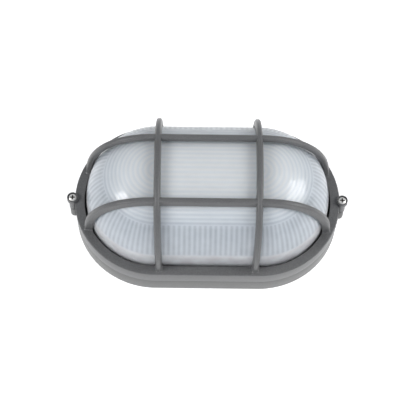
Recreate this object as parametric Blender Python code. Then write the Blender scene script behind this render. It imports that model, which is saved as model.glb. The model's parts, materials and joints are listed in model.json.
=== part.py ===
"""Oval bulkhead light with a cast guard: the construction, in metres, +Z out of the wall.

The origin is the middle of the flat back. X runs along the length. Every outline that goes
round the light is a stadium: two half circles about the ends of a spine that lies on X.
"""
import math

import bmesh
import bpy
import numpy as np
from mathutils import Matrix, Vector

# Overall form of the guard ring and how far its face stands off the wall
GUARD_LENGTH = 0.250
GUARD_WIDTH = 0.154
FACE_HEIGHT = 0.0346
WALL_DRAFT = 0.0300
PARTING_DEPTH = 0.0156

# Guard ring section
RING_FACE_WIDTH = 0.0090
RING_PLATE = 0.0032
RING_LIP_WALL = 0.0026
RING_LIP_DEPTH = 0.0066
EDGE_RADIUS = 0.0010

# Cage bars
BAR_WIDTH = 0.0067
BAR_SHOULDER_INSET = 0.0006
BAR_SHOULDER_DROP = 0.0034
BAR_EDGE_INSET = 0.0014
BAR_EDGE_DROP = 0.0012
BAR_CREST_INSET = 0.0024
FOOT_FILLET = 0.0010
FOOT_ROOT = 0.0016
CROSS_BAR_X = 0.0449
CROSS_BAR_LEAN = 0.0021
CROSS_BAR_EXPONENT = 2.4
CROSS_BAR_DEPTH = 0.0064
CROSS_FOOT_DEPTH = 0.0068
CROSS_BAR_TO_GLASS = 0.0029
LONG_BAR_Y = 0.0293
LONG_BAR_LEAN = 0.0031
LONG_BAR_EXPONENT = 2.25
LONG_BAR_DEPTH = 0.0056
LONG_FOOT_DEPTH = 0.0062
LONG_BAR_SLANT = 0.0032
LONG_BAR_TO_GLASS = 0.0033
LONG_FOOT_OVERHANG = 0.0005
CROSS_FOOT_TO_GLASS = 0.0008

# Glass
GLASS_TO_RING = 0.0020
GLASS_RISE = 0.0660
GLASS_WALL = 0.0040
GLASS_EXPONENT = 2.45
GLASS_CREST_FLAT = 0.0020
FLANGE_WIDTH = 0.0050
FLANGE_THICKNESS = 0.0035
RIB_PITCH = 0.0041
RIBS_TO_EDGE = 0.0125
RIB_DEPTH = 0.0006
FLUTE_PITCH = 0.0050
FLUTE_DEPTH = 0.0005
FLUTE_END_HEIGHT = 0.0175

# Gasket, a U folded round the edge of the glass
GASKET_LEG = 0.0014
GASKET_EDGE = 0.0018

# Base casting
BASE_FLOOR = 0.0028
BASE_WALL = 0.0026
BASE_RIM_WIDTH = 0.0056
BASE_RIM_STEP = 0.0017
BASE_RIM_PLATE = 0.0033
BASE_FLOOR_FILLET = 0.0015
FIXING_X = 0.058
FIXING_Y = 0.042
FIXING_SLOT_WIDTH = 0.0056
FIXING_SLOT_LENGTH = 0.0104

# Lugs and the two cover screws
LUG_REACH = 0.0022
LUG_RADIUS = 0.00525
LUG_RISE = 0.0035
LUG_DEPTH = 0.0062
LUG_POST_RADIUS = 0.0036
LUG_BOSS_RADIUS = 0.0039
LUG_BOSS_TAPER = 0.0004
LUG_BOSS_INSET = 0.0007
LUG_BOSS_END = 0.0016
COVER_HEAD_RADIUS = 0.0039
COVER_HEAD_HEIGHT = 0.0026
COVER_SHANK_RADIUS = 0.00195
COVER_THREAD_LENGTH = 0.0095

# Gear tray, a pressed reflector on three cast pillars
TRAY_HEIGHT = 0.0220
TRAY_SHEET = 0.0008
TRAY_RIM_RISE = 0.0055
TRAY_RIM_WIDTH = 0.0048
TRAY_TO_GLASS = 0.0030
PILLAR_RADIUS = 0.0042
TRAY_SCREW_TO_BLOCK = 0.0320

# Lampholder for a lamp with a 27 mm cap
LAMP_CAP_RADIUS = 0.0132
LAMP_CAP_LENGTH = 0.0250
LAMP_LENGTH = 0.1050
LAMP_RADIUS = 0.0300
LAMP_NECK_RADIUS = 0.0145
LAMP_TIP_RADIUS = 0.0045
LAMP_TIP_HEIGHT = 0.0015
LAMP_CAP_SLOPE = 0.0030
SHELL_WALL = 0.0008
HOLDER_WALL = 0.0048
HOLDER_BACK = 0.0090
HOLDER_TO_GLASS = 0.0145
HOLDER_WAIST_STEP = 0.0020
BRACKET_SHEET = 0.0015
BRACKET_WIDTH = 0.0300
BRACKET_FOOT = 0.0210
BRACKET_SCREW_X = 0.0105
BRACKET_SCREW_Y = 0.0105
HOLDER_SCREW_Y = 0.0090
CONTACT_WIDTH = 0.0060
CONTACT_SHEET = 0.0006
CONTACT_RISE = 0.0022

# Small screws inside
SMALL_SHANK_RADIUS = 0.0015
SMALL_HEAD_RADIUS = 0.0031
SMALL_HEAD_HEIGHT = 0.0021
SMALL_SCREW_GRIP = 0.0070
SLOT_WIDTH = 0.0009

# Terminal block
BLOCK_TO_GROMMET = 0.0340
BLOCK_LENGTH = 0.0180
BLOCK_HEIGHT = 0.0130
POLE_PITCH = 0.0100
POLE_COUNT = 3
SLEEVE_RADIUS = 0.0028
SLEEVE_BORE_RADIUS = 0.0018
CLAMP_SCREW_RADIUS = 0.0013
BLOCK_WALL = 0.0022
EAR_LENGTH = 0.0096
EAR_WIDTH = 0.0090
EAR_THICKNESS = 0.0030
EAR_BOSS_HEIGHT = 0.0040

# Earth point
EARTH_TO_BLOCK = 0.0460
EARTH_Y = -0.0340
EARTH_BOSS_RADIUS = 0.0050
EARTH_BOSS_HEIGHT = 0.0060
TAG_SHEET = 0.0008
TAG_RADIUS = 0.0040
TAG_BARREL_LENGTH = 0.0060

# Leads
LEAD_RADIUS = 0.0012
LEAD_HOLE_RADIUS = 0.0030
LEAD_HOLE_Y = 0.0200
LEAD_STEP = 0.0072
LEAD_STRAIGHT = 0.0080
LEAD_ENTRY_DEPTH = 0.0038
LEAD_BORE_SPARE = 0.0022
LEAD_SWING = 0.0060
LEAD_LIFT = 0.0050

# Cable grommet in the back
GROMMET_TO_RIM = 0.0255
GROMMET_HOLE_RADIUS = 0.0100
GROMMET_FLANGE = 0.0026
GROMMET_LIP = 0.0012
GROMMET_BORE_RADIUS = 0.0045

# Clearances
SEAT_GAP = 0.0003
SHANK_GAP = 0.00035
SKIRT_GAP = 0.0005

# Facets
ARC_STEPS = 20
GLASS_ARC_STEPS = 12
LATHE_STEPS = 20
SMALL_STEPS = 8
BAR_STATIONS = 12
FILLET_SHARES = (0.0, 0.25, 0.6)
SMOOTH_ANGLE = 35
TINY = 1e-9

# Values that follow from the sizes above
END_RADIUS = GUARD_WIDTH / 2
HALF_SPINE = (GUARD_LENGTH - GUARD_WIDTH) / 2
RING_INNER = END_RADIUS - RING_FACE_WIDTH
GLASS_RADIUS = RING_INNER - GLASS_TO_RING
GLASS_INNER = GLASS_RADIUS - GLASS_WALL
GLASS_INNER_RISE = GLASS_RISE - GLASS_WALL
RIB_COUNT = int((GLASS_INNER - RIBS_TO_EDGE) / RIB_PITCH)
FLUTES_ROUND_END = round(math.pi * GLASS_INNER / FLUTE_PITCH)
FLUTES_ALONG_SIDE = round(2 * HALF_SPINE / FLUTE_PITCH)
FLANGE_RADIUS = GLASS_RADIUS + FLANGE_WIDTH
GASKET_TOP = FACE_HEIGHT - RING_LIP_DEPTH - SEAT_GAP
FLANGE_TOP = GASKET_TOP - GASKET_LEG - SEAT_GAP
FLANGE_BOTTOM = FLANGE_TOP - FLANGE_THICKNESS
GASKET_BOTTOM = FLANGE_BOTTOM - SEAT_GAP - GASKET_LEG
GASKET_RADIUS = FLANGE_RADIUS + SEAT_GAP + GASKET_EDGE
SKIRT_INNER = GASKET_RADIUS + SKIRT_GAP
RIM_TOP = GASKET_BOTTOM - SEAT_GAP
RIM_RADIUS = SKIRT_INNER - SKIRT_GAP
RIM_INNER = RIM_RADIUS - BASE_RIM_WIDTH
SKIRT_BOTTOM = FACE_HEIGHT - PARTING_DEPTH
SHOULDER = SKIRT_BOTTOM - SEAT_GAP
LUG_X = HALF_SPINE + END_RADIUS + LUG_REACH
GROMMET_X = HALF_SPINE + RIM_INNER - GROMMET_TO_RIM
BLOCK_X = GROMMET_X - BLOCK_TO_GROMMET
TRAY_SCREW_X = BLOCK_X - TRAY_SCREW_TO_BLOCK
EARTH_X = BLOCK_X - EARTH_TO_BLOCK
HEAD_SEAT = FACE_HEIGHT + LUG_RISE - COVER_HEAD_HEIGHT
TRAY_TOP = TRAY_HEIGHT + TRAY_SHEET
TRAY_RADIUS = GLASS_INNER - TRAY_TO_GLASS
LAMP_AXIS = (TRAY_TOP + FACE_HEIGHT + GLASS_INNER_RISE) / 2
SHELL_INNER = LAMP_CAP_RADIUS + SHANK_GAP
SHELL_RADIUS = SHELL_INNER + SHELL_WALL
HOLDER_BORE = SHELL_RADIUS + SEAT_GAP
HOLDER_RADIUS = HOLDER_BORE + HOLDER_WALL
HOLDER_X = -(HALF_SPINE + GLASS_INNER) + HOLDER_TO_GLASS + BRACKET_SHEET + SEAT_GAP
HOLDER_FLOOR = HOLDER_X + HOLDER_BACK
CONTACT_TOP = HOLDER_FLOOR + SEAT_GAP + CONTACT_SHEET + CONTACT_RISE
LAMP_X = CONTACT_TOP + CONTACT_SHEET + SEAT_GAP
HOLDER_MOUTH = LAMP_X + LAMP_CAP_LENGTH
BRACKET_X = HOLDER_X - SEAT_GAP - BRACKET_SHEET
BRACKET_SCREW_PLACE = BRACKET_X + BRACKET_SCREW_X
POLE_HEIGHT = BASE_FLOOR + SEAT_GAP + BLOCK_WALL + SLEEVE_RADIUS
BLOCK_TOP = BASE_FLOOR + SEAT_GAP + BLOCK_HEIGHT
BLOCK_EDGE = POLE_PITCH * (POLE_COUNT - 1) / 2 + SLEEVE_RADIUS + SEAT_GAP + BLOCK_WALL
EAR_Y = BLOCK_EDGE + EAR_LENGTH / 2
EAR_SEAT = BASE_FLOOR + EAR_BOSS_HEIGHT + SEAT_GAP
EARTH_TOP = BASE_FLOOR + EARTH_BOSS_HEIGHT


# Mesh tools

def material(name, color, roughness, metallic=0.0, transmission=0.0):
    """A Principled material of one plain colour."""
    made = bpy.data.materials.new(name)
    made.use_nodes = True
    shader = made.node_tree.nodes["Principled BSDF"]
    shader.inputs["Base Color"].default_value = (*color, 1.0)
    shader.inputs["Roughness"].default_value = roughness
    shader.inputs["Metallic"].default_value = metallic
    shader.inputs["Transmission Weight"].default_value = transmission
    return made


def place(bm, name, finish):
    """Turn a bmesh into a named object with outward faces."""
    bmesh.ops.recalc_face_normals(bm, faces=bm.faces)
    mesh = bpy.data.meshes.new(name)
    bm.to_mesh(mesh)
    bm.free()
    mesh.shade_smooth()
    mesh.set_sharp_from_angle(angle=math.radians(SMOOTH_ANGLE))
    made = bpy.data.objects.new(name, mesh)
    made.data.materials.append(finish)
    bpy.context.scene.collection.objects.link(made)
    return made


def boolean(target, bm, operation):
    """Join or cut `target` with a hidden tool made from a bmesh."""
    tool = place(bm, target.name + "_tool", target.data.materials[0])
    tool.hide_render = True
    tool.display_type = "WIRE"
    change = target.modifiers.new(operation.title(), "BOOLEAN")
    change.operation = operation
    change.solver = "EXACT"
    change.object = tool
    return change


def stadium(radius, height, steps=ARC_STEPS):
    """A stadium outline as (place round it, point) pairs.

    The place counts 0 to 1 round the +X end, 1 to 2 along the +Y side, 2 to 3 round the -X
    end and 3 to 4 back along the -Y side.
    """
    outline = []
    for end, start, first in ((1, -math.pi / 2, 0.0), (-1, math.pi / 2, 2.0)):
        for k in range(steps + 1):
            angle = start + math.pi * k / steps
            x = end * HALF_SPINE + radius * math.cos(angle)
            outline.append((first + k / steps, (x, radius * math.sin(angle), height)))
    return outline


def circle(radius, height, steps=LATHE_STEPS):
    """A circle about Z as (place round it, point) pairs, the place counting 0 to 4."""
    outline = []
    for k in range(steps):
        angle = math.tau * k / steps
        outline.append((4 * k / steps, (radius * math.cos(angle), radius * math.sin(angle), height)))
    return outline


def zip_loops(bm, lower, upper):
    """Faces between two closed loops of (place, vertex), whatever the counts of points."""
    i = 0
    j = 0
    while i < len(lower) or j < len(upper):
        a = lower[i % len(lower)][1]
        b = upper[j % len(upper)][1]
        next_a = lower[i + 1][0] if i + 1 < len(lower) else 4.0 if i < len(lower) else 9.0
        next_b = upper[j + 1][0] if j + 1 < len(upper) else 4.0 if j < len(upper) else 9.0
        corners = [a]
        if next_a <= next_b + TINY:
            i += 1
            corners.append(lower[i % len(lower)][1])
        if next_b <= next_a + TINY:
            j += 1
            corners.append(upper[j % len(upper)][1])
        corners.append(b)
        bm.faces.new(corners)


def loft(outlines, ring=False, bm=None):
    """Skin a list of closed outlines. A ring joins the last to the first, and otherwise
    the two ends are closed with flat caps."""
    bm = bm or bmesh.new()
    loops = []
    for outline in outlines:
        loops.append([(where, bm.verts.new(point)) for where, point in outline])
    for lower, upper in zip(loops, loops[1:] + loops[:1] if ring else loops[1:]):
        zip_loops(bm, lower, upper)
    if not ring:
        bm.faces.new([vertex for _, vertex in reversed(loops[0])])
        bm.faces.new([vertex for _, vertex in loops[-1]])
    return bm


def lathe(profile, steps=LATHE_STEPS, ring=False, bm=None, about_x=False, centre=(0, 0, 0)):
    """Turn a profile of (radius, height) about Z, or about X with the height along it."""
    turned = loft([circle(radius, height, steps) for radius, height in profile], ring)
    if about_x:
        bmesh.ops.transform(turned, verts=turned.verts, matrix=Matrix.Rotation(math.pi / 2, 4, "Y"))
    bmesh.ops.translate(turned, verts=turned.verts, vec=centre)
    if bm is None:
        return turned
    return add_to(bm, turned)


def add_to(bm, other):
    """Copy the shape `other` into `bm` as one more solid."""
    carrier = bpy.data.meshes.new("carrier")
    other.to_mesh(carrier)
    other.free()
    bm.from_mesh(carrier)
    bpy.data.meshes.remove(carrier)
    return bm


def block(low, high):
    """A box between two corners."""
    made = bmesh.new()
    bmesh.ops.create_cube(made, size=1.0)
    middle = (Vector(low) + Vector(high)) / 2
    bmesh.ops.scale(made, verts=made.verts, vec=Vector(high) - Vector(low))
    bmesh.ops.translate(made, verts=made.verts, vec=middle)
    return made


def rounded(corner, radius, start, turn=-90, steps=3):
    """Points of a quarter round about `corner`, for a profile of (radius, height)."""
    points = []
    for k in range(steps + 1):
        angle = math.radians(start + turn * k / steps)
        points.append((corner[0] + radius * math.cos(angle), corner[1] + radius * math.sin(angle)))
    return points


def superellipse(half_span, rise, exponent, count):
    """A quarter arch from its foot to its crest as (across, up), evenly spaced along it."""
    turn = np.linspace(0, np.pi / 2, 2001)
    across = half_span * np.cos(turn) ** (2 / exponent)
    up = rise * np.sin(turn) ** (2 / exponent)
    run = np.concatenate(([0.0], np.cumsum(np.hypot(np.diff(across), np.diff(up)))))
    even = np.linspace(0, run[-1], count)
    return list(zip(np.interp(even, run, across), np.interp(even, run, up)))


def outer_wall(height):
    """Radius of the drafted outer wall at a height above the back."""
    return END_RADIUS - (FACE_HEIGHT - height) * WALL_DRAFT


def glass_rise(radius, outer=True):
    """Height of the glass above the ring's face at a distance from the spine."""
    reach = GLASS_RADIUS if outer else GLASS_INNER
    top = GLASS_RISE if outer else GLASS_INNER_RISE
    share = min(radius / reach, 1.0)
    return top * (1 - share ** GLASS_EXPONENT) ** (1 / GLASS_EXPONENT)


# Guard casting: ring, cage bars and lugs in one piece

def ring_profile():
    """Section of the guard ring: face, drafted skirt and the lip that clamps the glass."""
    profile = rounded((END_RADIUS - EDGE_RADIUS, FACE_HEIGHT - EDGE_RADIUS), EDGE_RADIUS, 90)
    profile.append((outer_wall(SKIRT_BOTTOM), SKIRT_BOTTOM))
    profile.append((SKIRT_INNER, SKIRT_BOTTOM))
    profile.append((SKIRT_INNER, FACE_HEIGHT - RING_PLATE))
    profile.append((RING_INNER + RING_LIP_WALL, FACE_HEIGHT - RING_PLATE))
    profile.append((RING_INNER + RING_LIP_WALL, FACE_HEIGHT - RING_LIP_DEPTH))
    profile.append((RING_INNER, FACE_HEIGHT - RING_LIP_DEPTH))
    profile.append((RING_INNER, FACE_HEIGHT - EDGE_RADIUS / 2))
    profile.append((RING_INNER + EDGE_RADIUS / 2, FACE_HEIGHT))
    return profile


def bar_section(depth, slant, swell):
    """Section of a bar as (sideways, outward): a flat crest, then a facet, a shoulder and a
    drafted flank on each side. The side that faces the glass is `slant` deeper at +sideways.

    `swell` moves the crest and the flanks outwards, as a fillet does near a foot, but not
    the side that faces the glass.
    """
    top = depth / 2
    half = (
        (BAR_CREST_INSET, top),
        (BAR_EDGE_INSET, top - BAR_EDGE_DROP),
        (BAR_SHOULDER_INSET, top - BAR_SHOULDER_DROP),
        (0.0, -top),
    )
    right = [(BAR_WIDTH / 2 - inset, out) for inset, out in half]
    points = []
    for side, corners in ((1, right), (-1, right[::-1])):
        for across, out in corners:
            if out > -top:
                points.append((side * (across + swell), out + (swell if out > 0 else 0.0)))
            else:
                points.append((side * (across + swell), out - side * slant / 2))
    return points


def fillet_swell(distance):
    """How far a fillet of FOOT_FILLET stands out at a distance from the face it meets."""
    if distance >= FOOT_FILLET:
        return 0.0
    reach = FOOT_FILLET - max(distance, 0.0)
    return FOOT_FILLET - math.sqrt(FOOT_FILLET ** 2 - reach ** 2)


def arch_bar(straight, half_span, rise, exponent, place_at, lean, depths, slant, along_x):
    """One cage bar: the section carried over an arch in a leaning plane.

    The arch is a straight run as long as twice `straight` with a superellipse down to each
    foot. `place_at` is the plane's distance from the middle at the ring's face, and `lean` is
    how much further out it is at the crest. `depths` are the bar's at its foot and its crest.
    """
    side = 1 if place_at > 0 else -1
    quarter = superellipse(half_span - straight, rise, exponent, BAR_STATIONS)
    climb = [(half_span, -FOOT_ROOT)]
    climb += [(half_span, FOOT_FILLET * share) for share in FILLET_SHARES]
    climb += [(straight + across, up) for across, up in quarter[1:] if up > FOOT_FILLET]
    back = climb if straight else climb[:-1]
    path = climb + [(-across, up) for across, up in reversed(back)]
    outlines = []
    for k, (across, up) in enumerate(path):
        before = Vector(path[max(k - 1, 0)])
        after = Vector(path[min(k + 1, len(path) - 1)])
        tangent = (after - before).normalized()
        out = Vector((-tangent.y, tangent.x)) * -1
        share = min(max(up / rise, 0.0), 1.0)
        depth = depths[0] + (depths[1] - depths[0]) * share
        plane = place_at + side * lean * share
        outline = []
        section = bar_section(depth, side * slant, fillet_swell(up))
        for m, (sideways, outward) in enumerate(section):
            a = across + out.x * outward
            z = FACE_HEIGHT + up + out.y * outward
            b = plane + sideways
            point = (a, b, z) if along_x else (b, a, z)
            outline.append((4 * m / len(section), point))
        outlines.append(outline)
    return loft(outlines)


def make_guard(finish):
    """The guard: ring, two cross bars, two long bars and a lug at each end."""
    profile = ring_profile()
    ring = loft([stadium(radius, height) for radius, height in profile], ring=True)
    guard = place(ring, "guard_frame", finish)
    depths = (CROSS_FOOT_DEPTH, CROSS_BAR_DEPTH)
    span = GLASS_RADIUS + CROSS_FOOT_TO_GLASS + CROSS_FOOT_DEPTH / 2
    rise = GLASS_RISE + CROSS_BAR_TO_GLASS + CROSS_BAR_DEPTH / 2
    for side in (-1, 1):
        place_at = side * CROSS_BAR_X
        bar = arch_bar(0.0, span, rise, CROSS_BAR_EXPONENT, place_at, CROSS_BAR_LEAN, depths, 0.0, False)
        boolean(guard, bar, "UNION")
    depths = (LONG_FOOT_DEPTH, LONG_BAR_DEPTH)
    reach = RING_INNER - LONG_FOOT_OVERHANG
    span = HALF_SPINE + math.sqrt(reach ** 2 - LONG_BAR_Y ** 2) + LONG_FOOT_DEPTH / 2
    rise = glass_rise(LONG_BAR_Y + LONG_BAR_LEAN) + LONG_BAR_TO_GLASS + LONG_BAR_DEPTH / 2
    for side in (-1, 1):
        place_at = side * LONG_BAR_Y
        ends = (HALF_SPINE, span, rise, LONG_BAR_EXPONENT)
        boolean(guard, arch_bar(*ends, place_at, LONG_BAR_LEAN, depths, LONG_BAR_SLANT, True), "UNION")
    for side in (-1, 1):
        lug = lathe(lug_profile(), centre=(side * LUG_X, 0, 0))
        boolean(guard, lug, "UNION")
    for side in (-1, 1):
        boolean(guard, lug_cutter(side), "DIFFERENCE")
    return guard


def lug_profile():
    """A lug: a collar round the screw's head, on a thinner post up from the parting line."""
    top = FACE_HEIGHT + LUG_RISE
    under = top - LUG_DEPTH
    profile = [(LUG_POST_RADIUS, SKIRT_BOTTOM), (LUG_POST_RADIUS, under)]
    profile.append((LUG_RADIUS, under + (LUG_RADIUS - LUG_POST_RADIUS) / 2))
    profile += [(LUG_RADIUS, top - EDGE_RADIUS / 2), (LUG_RADIUS - EDGE_RADIUS / 2, top)]
    return profile


def lug_cutter(side):
    """The recess for a screw's head and the clearance hole under it, as one stepped tool."""
    pocket = COVER_HEAD_RADIUS + SHANK_GAP
    hole = COVER_SHANK_RADIUS + SHANK_GAP
    top = FACE_HEIGHT + LUG_RISE + LUG_RADIUS
    bottom = SKIRT_BOTTOM - LUG_RADIUS
    seat = HEAD_SEAT - SEAT_GAP
    profile = [(hole, bottom), (hole, seat), (pocket, seat), (pocket, top)]
    return lathe(profile, centre=(side * LUG_X, 0, 0))


# Base casting

def base_profile():
    """Section of the base from the middle of its back, round the wall, to its floor."""
    channel = RIM_TOP - BASE_RIM_PLATE - BASE_RIM_STEP
    inner_wall = RIM_INNER + BASE_WALL
    outer_inner = outer_wall(0) - BASE_WALL
    profile = [(inner_wall, 0), (inner_wall, channel), (outer_inner, channel), (outer_inner, 0)]
    profile += [(outer_wall(0) - EDGE_RADIUS / 2, 0), (outer_wall(0), EDGE_RADIUS / 2)]
    profile += [(outer_wall(SHOULDER), SHOULDER), (RIM_RADIUS, SHOULDER)]
    profile += [(RIM_RADIUS, RIM_TOP), (RIM_INNER, RIM_TOP)]
    profile += [(RIM_INNER, BASE_FLOOR + BASE_FLOOR_FILLET)]
    profile += [(RIM_INNER - BASE_FLOOR_FILLET, BASE_FLOOR)]
    return profile


def post(x, y, radius, bottom, top, steps=SMALL_STEPS, bm=None):
    """A round post or hole along Z."""
    return lathe([(radius, bottom), (radius, top)], steps=steps, bm=bm, centre=(x, y, 0))


def make_base(finish):
    """The base: a shallow dish with a hollow wall, screw bosses and pillars on its floor."""
    profile = base_profile()
    dish = loft([stadium(radius, height) for radius, height in profile])
    base = place(dish, "base_housing", finish)
    root = BASE_FLOOR / 2
    pillars = bmesh.new()
    for x, y in tray_screw_places():
        pillars = post(x, y, PILLAR_RADIUS, root, TRAY_HEIGHT - SEAT_GAP, bm=pillars)
    pillars = post(EARTH_X, EARTH_Y, EARTH_BOSS_RADIUS, root, EARTH_TOP, bm=pillars)
    pillars = post(BLOCK_X, EAR_Y, PILLAR_RADIUS, root, EAR_SEAT - SEAT_GAP, bm=pillars)
    collar = GROMMET_HOLE_RADIUS + GROMMET_FLANGE
    pillars = post(GROMMET_X, 0, collar, root, grommet_seat(), LATHE_STEPS, pillars)
    boolean(base, pillars, "UNION")
    for side in (-1, 1):
        boolean(base, lug_boss(side), "UNION")
    holes = bmesh.new()
    for x, y in tray_screw_places():
        grip = TRAY_HEIGHT - SMALL_SCREW_GRIP - SEAT_GAP
        holes = post(x, y, SMALL_SHANK_RADIUS + SHANK_GAP, grip, TRAY_TOP, bm=holes)
    foot = floor_grip() - SEAT_GAP
    holes = post(EARTH_X, EARTH_Y, SMALL_SHANK_RADIUS + SHANK_GAP, foot, TRAY_HEIGHT, bm=holes)
    holes = post(BLOCK_X, EAR_Y, SMALL_SHANK_RADIUS + SHANK_GAP, foot, TRAY_HEIGHT, bm=holes)
    for side in (-1, 1):
        thread = SHOULDER - COVER_THREAD_LENGTH - SEAT_GAP
        shank = COVER_SHANK_RADIUS + SHANK_GAP
        holes = post(side * LUG_X, 0, shank, thread, FACE_HEIGHT, bm=holes)
        for y in (-FIXING_Y, FIXING_Y):
            holes = slot_cutter(side * FIXING_X, y, holes)
    holes = post(GROMMET_X, 0, GROMMET_HOLE_RADIUS + SEAT_GAP, -root, TRAY_HEIGHT, LATHE_STEPS, holes)
    boolean(base, holes, "DIFFERENCE")
    recess = bmesh.new()
    lip = GROMMET_HOLE_RADIUS + GROMMET_FLANGE + SEAT_GAP
    recess = post(GROMMET_X, 0, lip, -root, GROMMET_LIP + 2 * SEAT_GAP, LATHE_STEPS, recess)
    boolean(base, recess, "DIFFERENCE")
    return base


def grommet_seat():
    """Height of the collar that the grommet's inner lip sits on."""
    return BASE_FLOOR + GROMMET_LIP


def floor_grip():
    """Height that the screws over the floor's low bosses reach down to."""
    return BASE_FLOOR / 2


def tray_screw_places():
    """The three pillars: two under the lampholder's bracket and one at the other end."""
    return (
        (BRACKET_SCREW_PLACE, -BRACKET_SCREW_Y),
        (BRACKET_SCREW_PLACE, BRACKET_SCREW_Y),
        (TRAY_SCREW_X, 0.0),
    )


def lug_boss(side):
    """The tapered boss on the wall under a lug, with a slanted lower end."""
    centre = side * (LUG_X - LUG_BOSS_INSET)
    end = LUG_BOSS_RADIUS - LUG_BOSS_TAPER
    profile = [(end - LUG_BOSS_END, LUG_BOSS_END / 2), (end, LUG_BOSS_END * 2), (LUG_BOSS_RADIUS, SHOULDER)]
    return lathe(profile, centre=(centre, 0, 0))


def slot_cutter(x, y, bm):
    """A fixing slot along X through the floor."""
    half = (FIXING_SLOT_LENGTH - FIXING_SLOT_WIDTH) / 2
    outline_low = []
    outline_high = []
    for end, start in ((1, -90), (-1, 90)):
        for k in range(SMALL_STEPS + 1):
            angle = math.radians(start + 180 * k / SMALL_STEPS)
            px = x + end * half + FIXING_SLOT_WIDTH / 2 * math.cos(angle)
            py = y + FIXING_SLOT_WIDTH / 2 * math.sin(angle)
            where = len(outline_low) * 2 / (SMALL_STEPS + 1)
            outline_low.append((where, (px, py, -BASE_FLOOR)))
            outline_high.append((where, (px, py, 2 * BASE_FLOOR)))
    return add_to(bm, loft([outline_low, outline_high]))


# Glass and gasket

def fluted(radius, height, slope):
    """A finer outline whose points step in and out by FLUTE_DEPTH along the wall's normal.

    `slope` is the angle of that normal above the level.
    """
    outline = []
    round_steps = 2 * FLUTES_ROUND_END
    side_steps = 2 * FLUTES_ALONG_SIDE
    for end, start, first in ((1, -math.pi / 2, 0.0), (-1, math.pi / 2, 2.0)):
        for k in range(round_steps + side_steps):
            cut = FLUTE_DEPTH * (k % 2)
            reach = radius - cut * math.cos(slope)
            z = height - cut * math.sin(slope)
            if k <= round_steps:
                angle = start + math.pi * k / round_steps
                point = (end * HALF_SPINE + reach * math.cos(angle), reach * math.sin(angle), z)
                outline.append((first + k / round_steps, point))
            else:
                share = (k - round_steps) / side_steps
                point = (end * HALF_SPINE * (1 - 2 * share), end * reach, z)
                outline.append((first + 1 + share, point))
    return outline


def make_glass(finish):
    """The glass: a smooth dome outside, with rings of ribs inside its crown and flutes
    inside its sides, and a flange round its foot."""
    steps = GLASS_ARC_STEPS
    outlines = []
    for rib in range(2 * RIB_COUNT, 0, -1):
        radius = rib * RIB_PITCH / 2
        height = glass_rise(radius, outer=False) - RIB_DEPTH * (rib % 2)
        outlines.append(stadium(radius, FACE_HEIGHT + height, steps))
    crown = RIB_COUNT * RIB_PITCH
    wall = []
    for across, up in superellipse(GLASS_INNER, GLASS_INNER_RISE, GLASS_EXPONENT, 17):
        if across > crown + RIB_PITCH / 2 and up > FLUTE_END_HEIGHT:
            wall.append((across, up))
    wall = [wall[0], wall[len(wall) // 2], wall[-1]]
    flutes = []
    for across, up in wall:
        rise = (up / GLASS_INNER_RISE) ** (GLASS_EXPONENT - 1)
        fall = (across / GLASS_INNER) ** (GLASS_EXPONENT - 1)
        flutes.append(fluted(across, FACE_HEIGHT + up, math.atan2(rise, fall)))
    foot = [stadium(GLASS_INNER, FLANGE_BOTTOM, steps), stadium(GLASS_INNER, FACE_HEIGHT, steps)]
    outlines = foot + flutes + outlines
    inside = list(reversed(outlines))
    outside = [stadium(FLANGE_RADIUS, FLANGE_BOTTOM, steps), stadium(FLANGE_RADIUS, FLANGE_TOP, steps)]
    outside.append(stadium(GLASS_RADIUS, FLANGE_TOP, steps))
    for across, up in superellipse(GLASS_RADIUS, GLASS_RISE, GLASS_EXPONENT, 14)[:-1]:
        outside.append(stadium(across, FACE_HEIGHT + up, steps))
    outside.append(stadium(GLASS_CREST_FLAT, FACE_HEIGHT + GLASS_RISE, steps))
    return place(loft(inside + outside), "glass_diffuser", finish)


def make_gasket(finish):
    """The gasket: a U section that wraps the edge of the glass's flange."""
    inner = GLASS_RADIUS + SEAT_GAP
    edge = FLANGE_RADIUS + SEAT_GAP
    under = FLANGE_BOTTOM - SEAT_GAP
    over = FLANGE_TOP + SEAT_GAP
    profile = [(inner, GASKET_TOP), (GASKET_RADIUS, GASKET_TOP), (GASKET_RADIUS, GASKET_BOTTOM)]
    profile += [(inner, GASKET_BOTTOM), (inner, under), (edge, under), (edge, over), (inner, over)]
    ring = loft([stadium(radius, height, GLASS_ARC_STEPS) for radius, height in profile], ring=True)
    return place(ring, "glass_gasket", finish)


# Screws

def pan_screw(head_radius, head_height, shank_radius, length, steps):
    """A pan-head screw pointing down, its head's underside at the origin."""
    rim = head_height * 0.45
    profile = [(shank_radius * 0.6, -length), (shank_radius, -length + shank_radius * 0.6)]
    profile += [(shank_radius, 0), (head_radius, 0), (head_radius, rim)]
    profile += [(head_radius * 0.86, head_height * 0.8), (head_radius * 0.5, head_height)]
    return lathe(profile, steps=steps)


def cross_recess():
    """The tool that cuts a cross recess: two crossed bars that narrow towards their foot."""
    long_arm = COVER_HEAD_RADIUS * 0.58
    short_arm = COVER_HEAD_RADIUS * 0.15
    foot = COVER_HEAD_HEIGHT * 0.35
    top = COVER_HEAD_HEIGHT * 1.5
    corners = []
    for quarter in range(4):
        turn = Matrix.Rotation(quarter * math.pi / 2, 2)
        for corner in ((long_arm, -short_arm), (long_arm, short_arm), (short_arm, short_arm)):
            corners.append(turn @ Vector(corner))
    outlines = []
    for height, share in ((foot, 0.45), (top, 1.25)):
        count = len(corners)
        outline = [(4 * k / count, (p.x * share, p.y * share, height)) for k, p in enumerate(corners)]
        outlines.append(outline)
    return loft(outlines)


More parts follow.
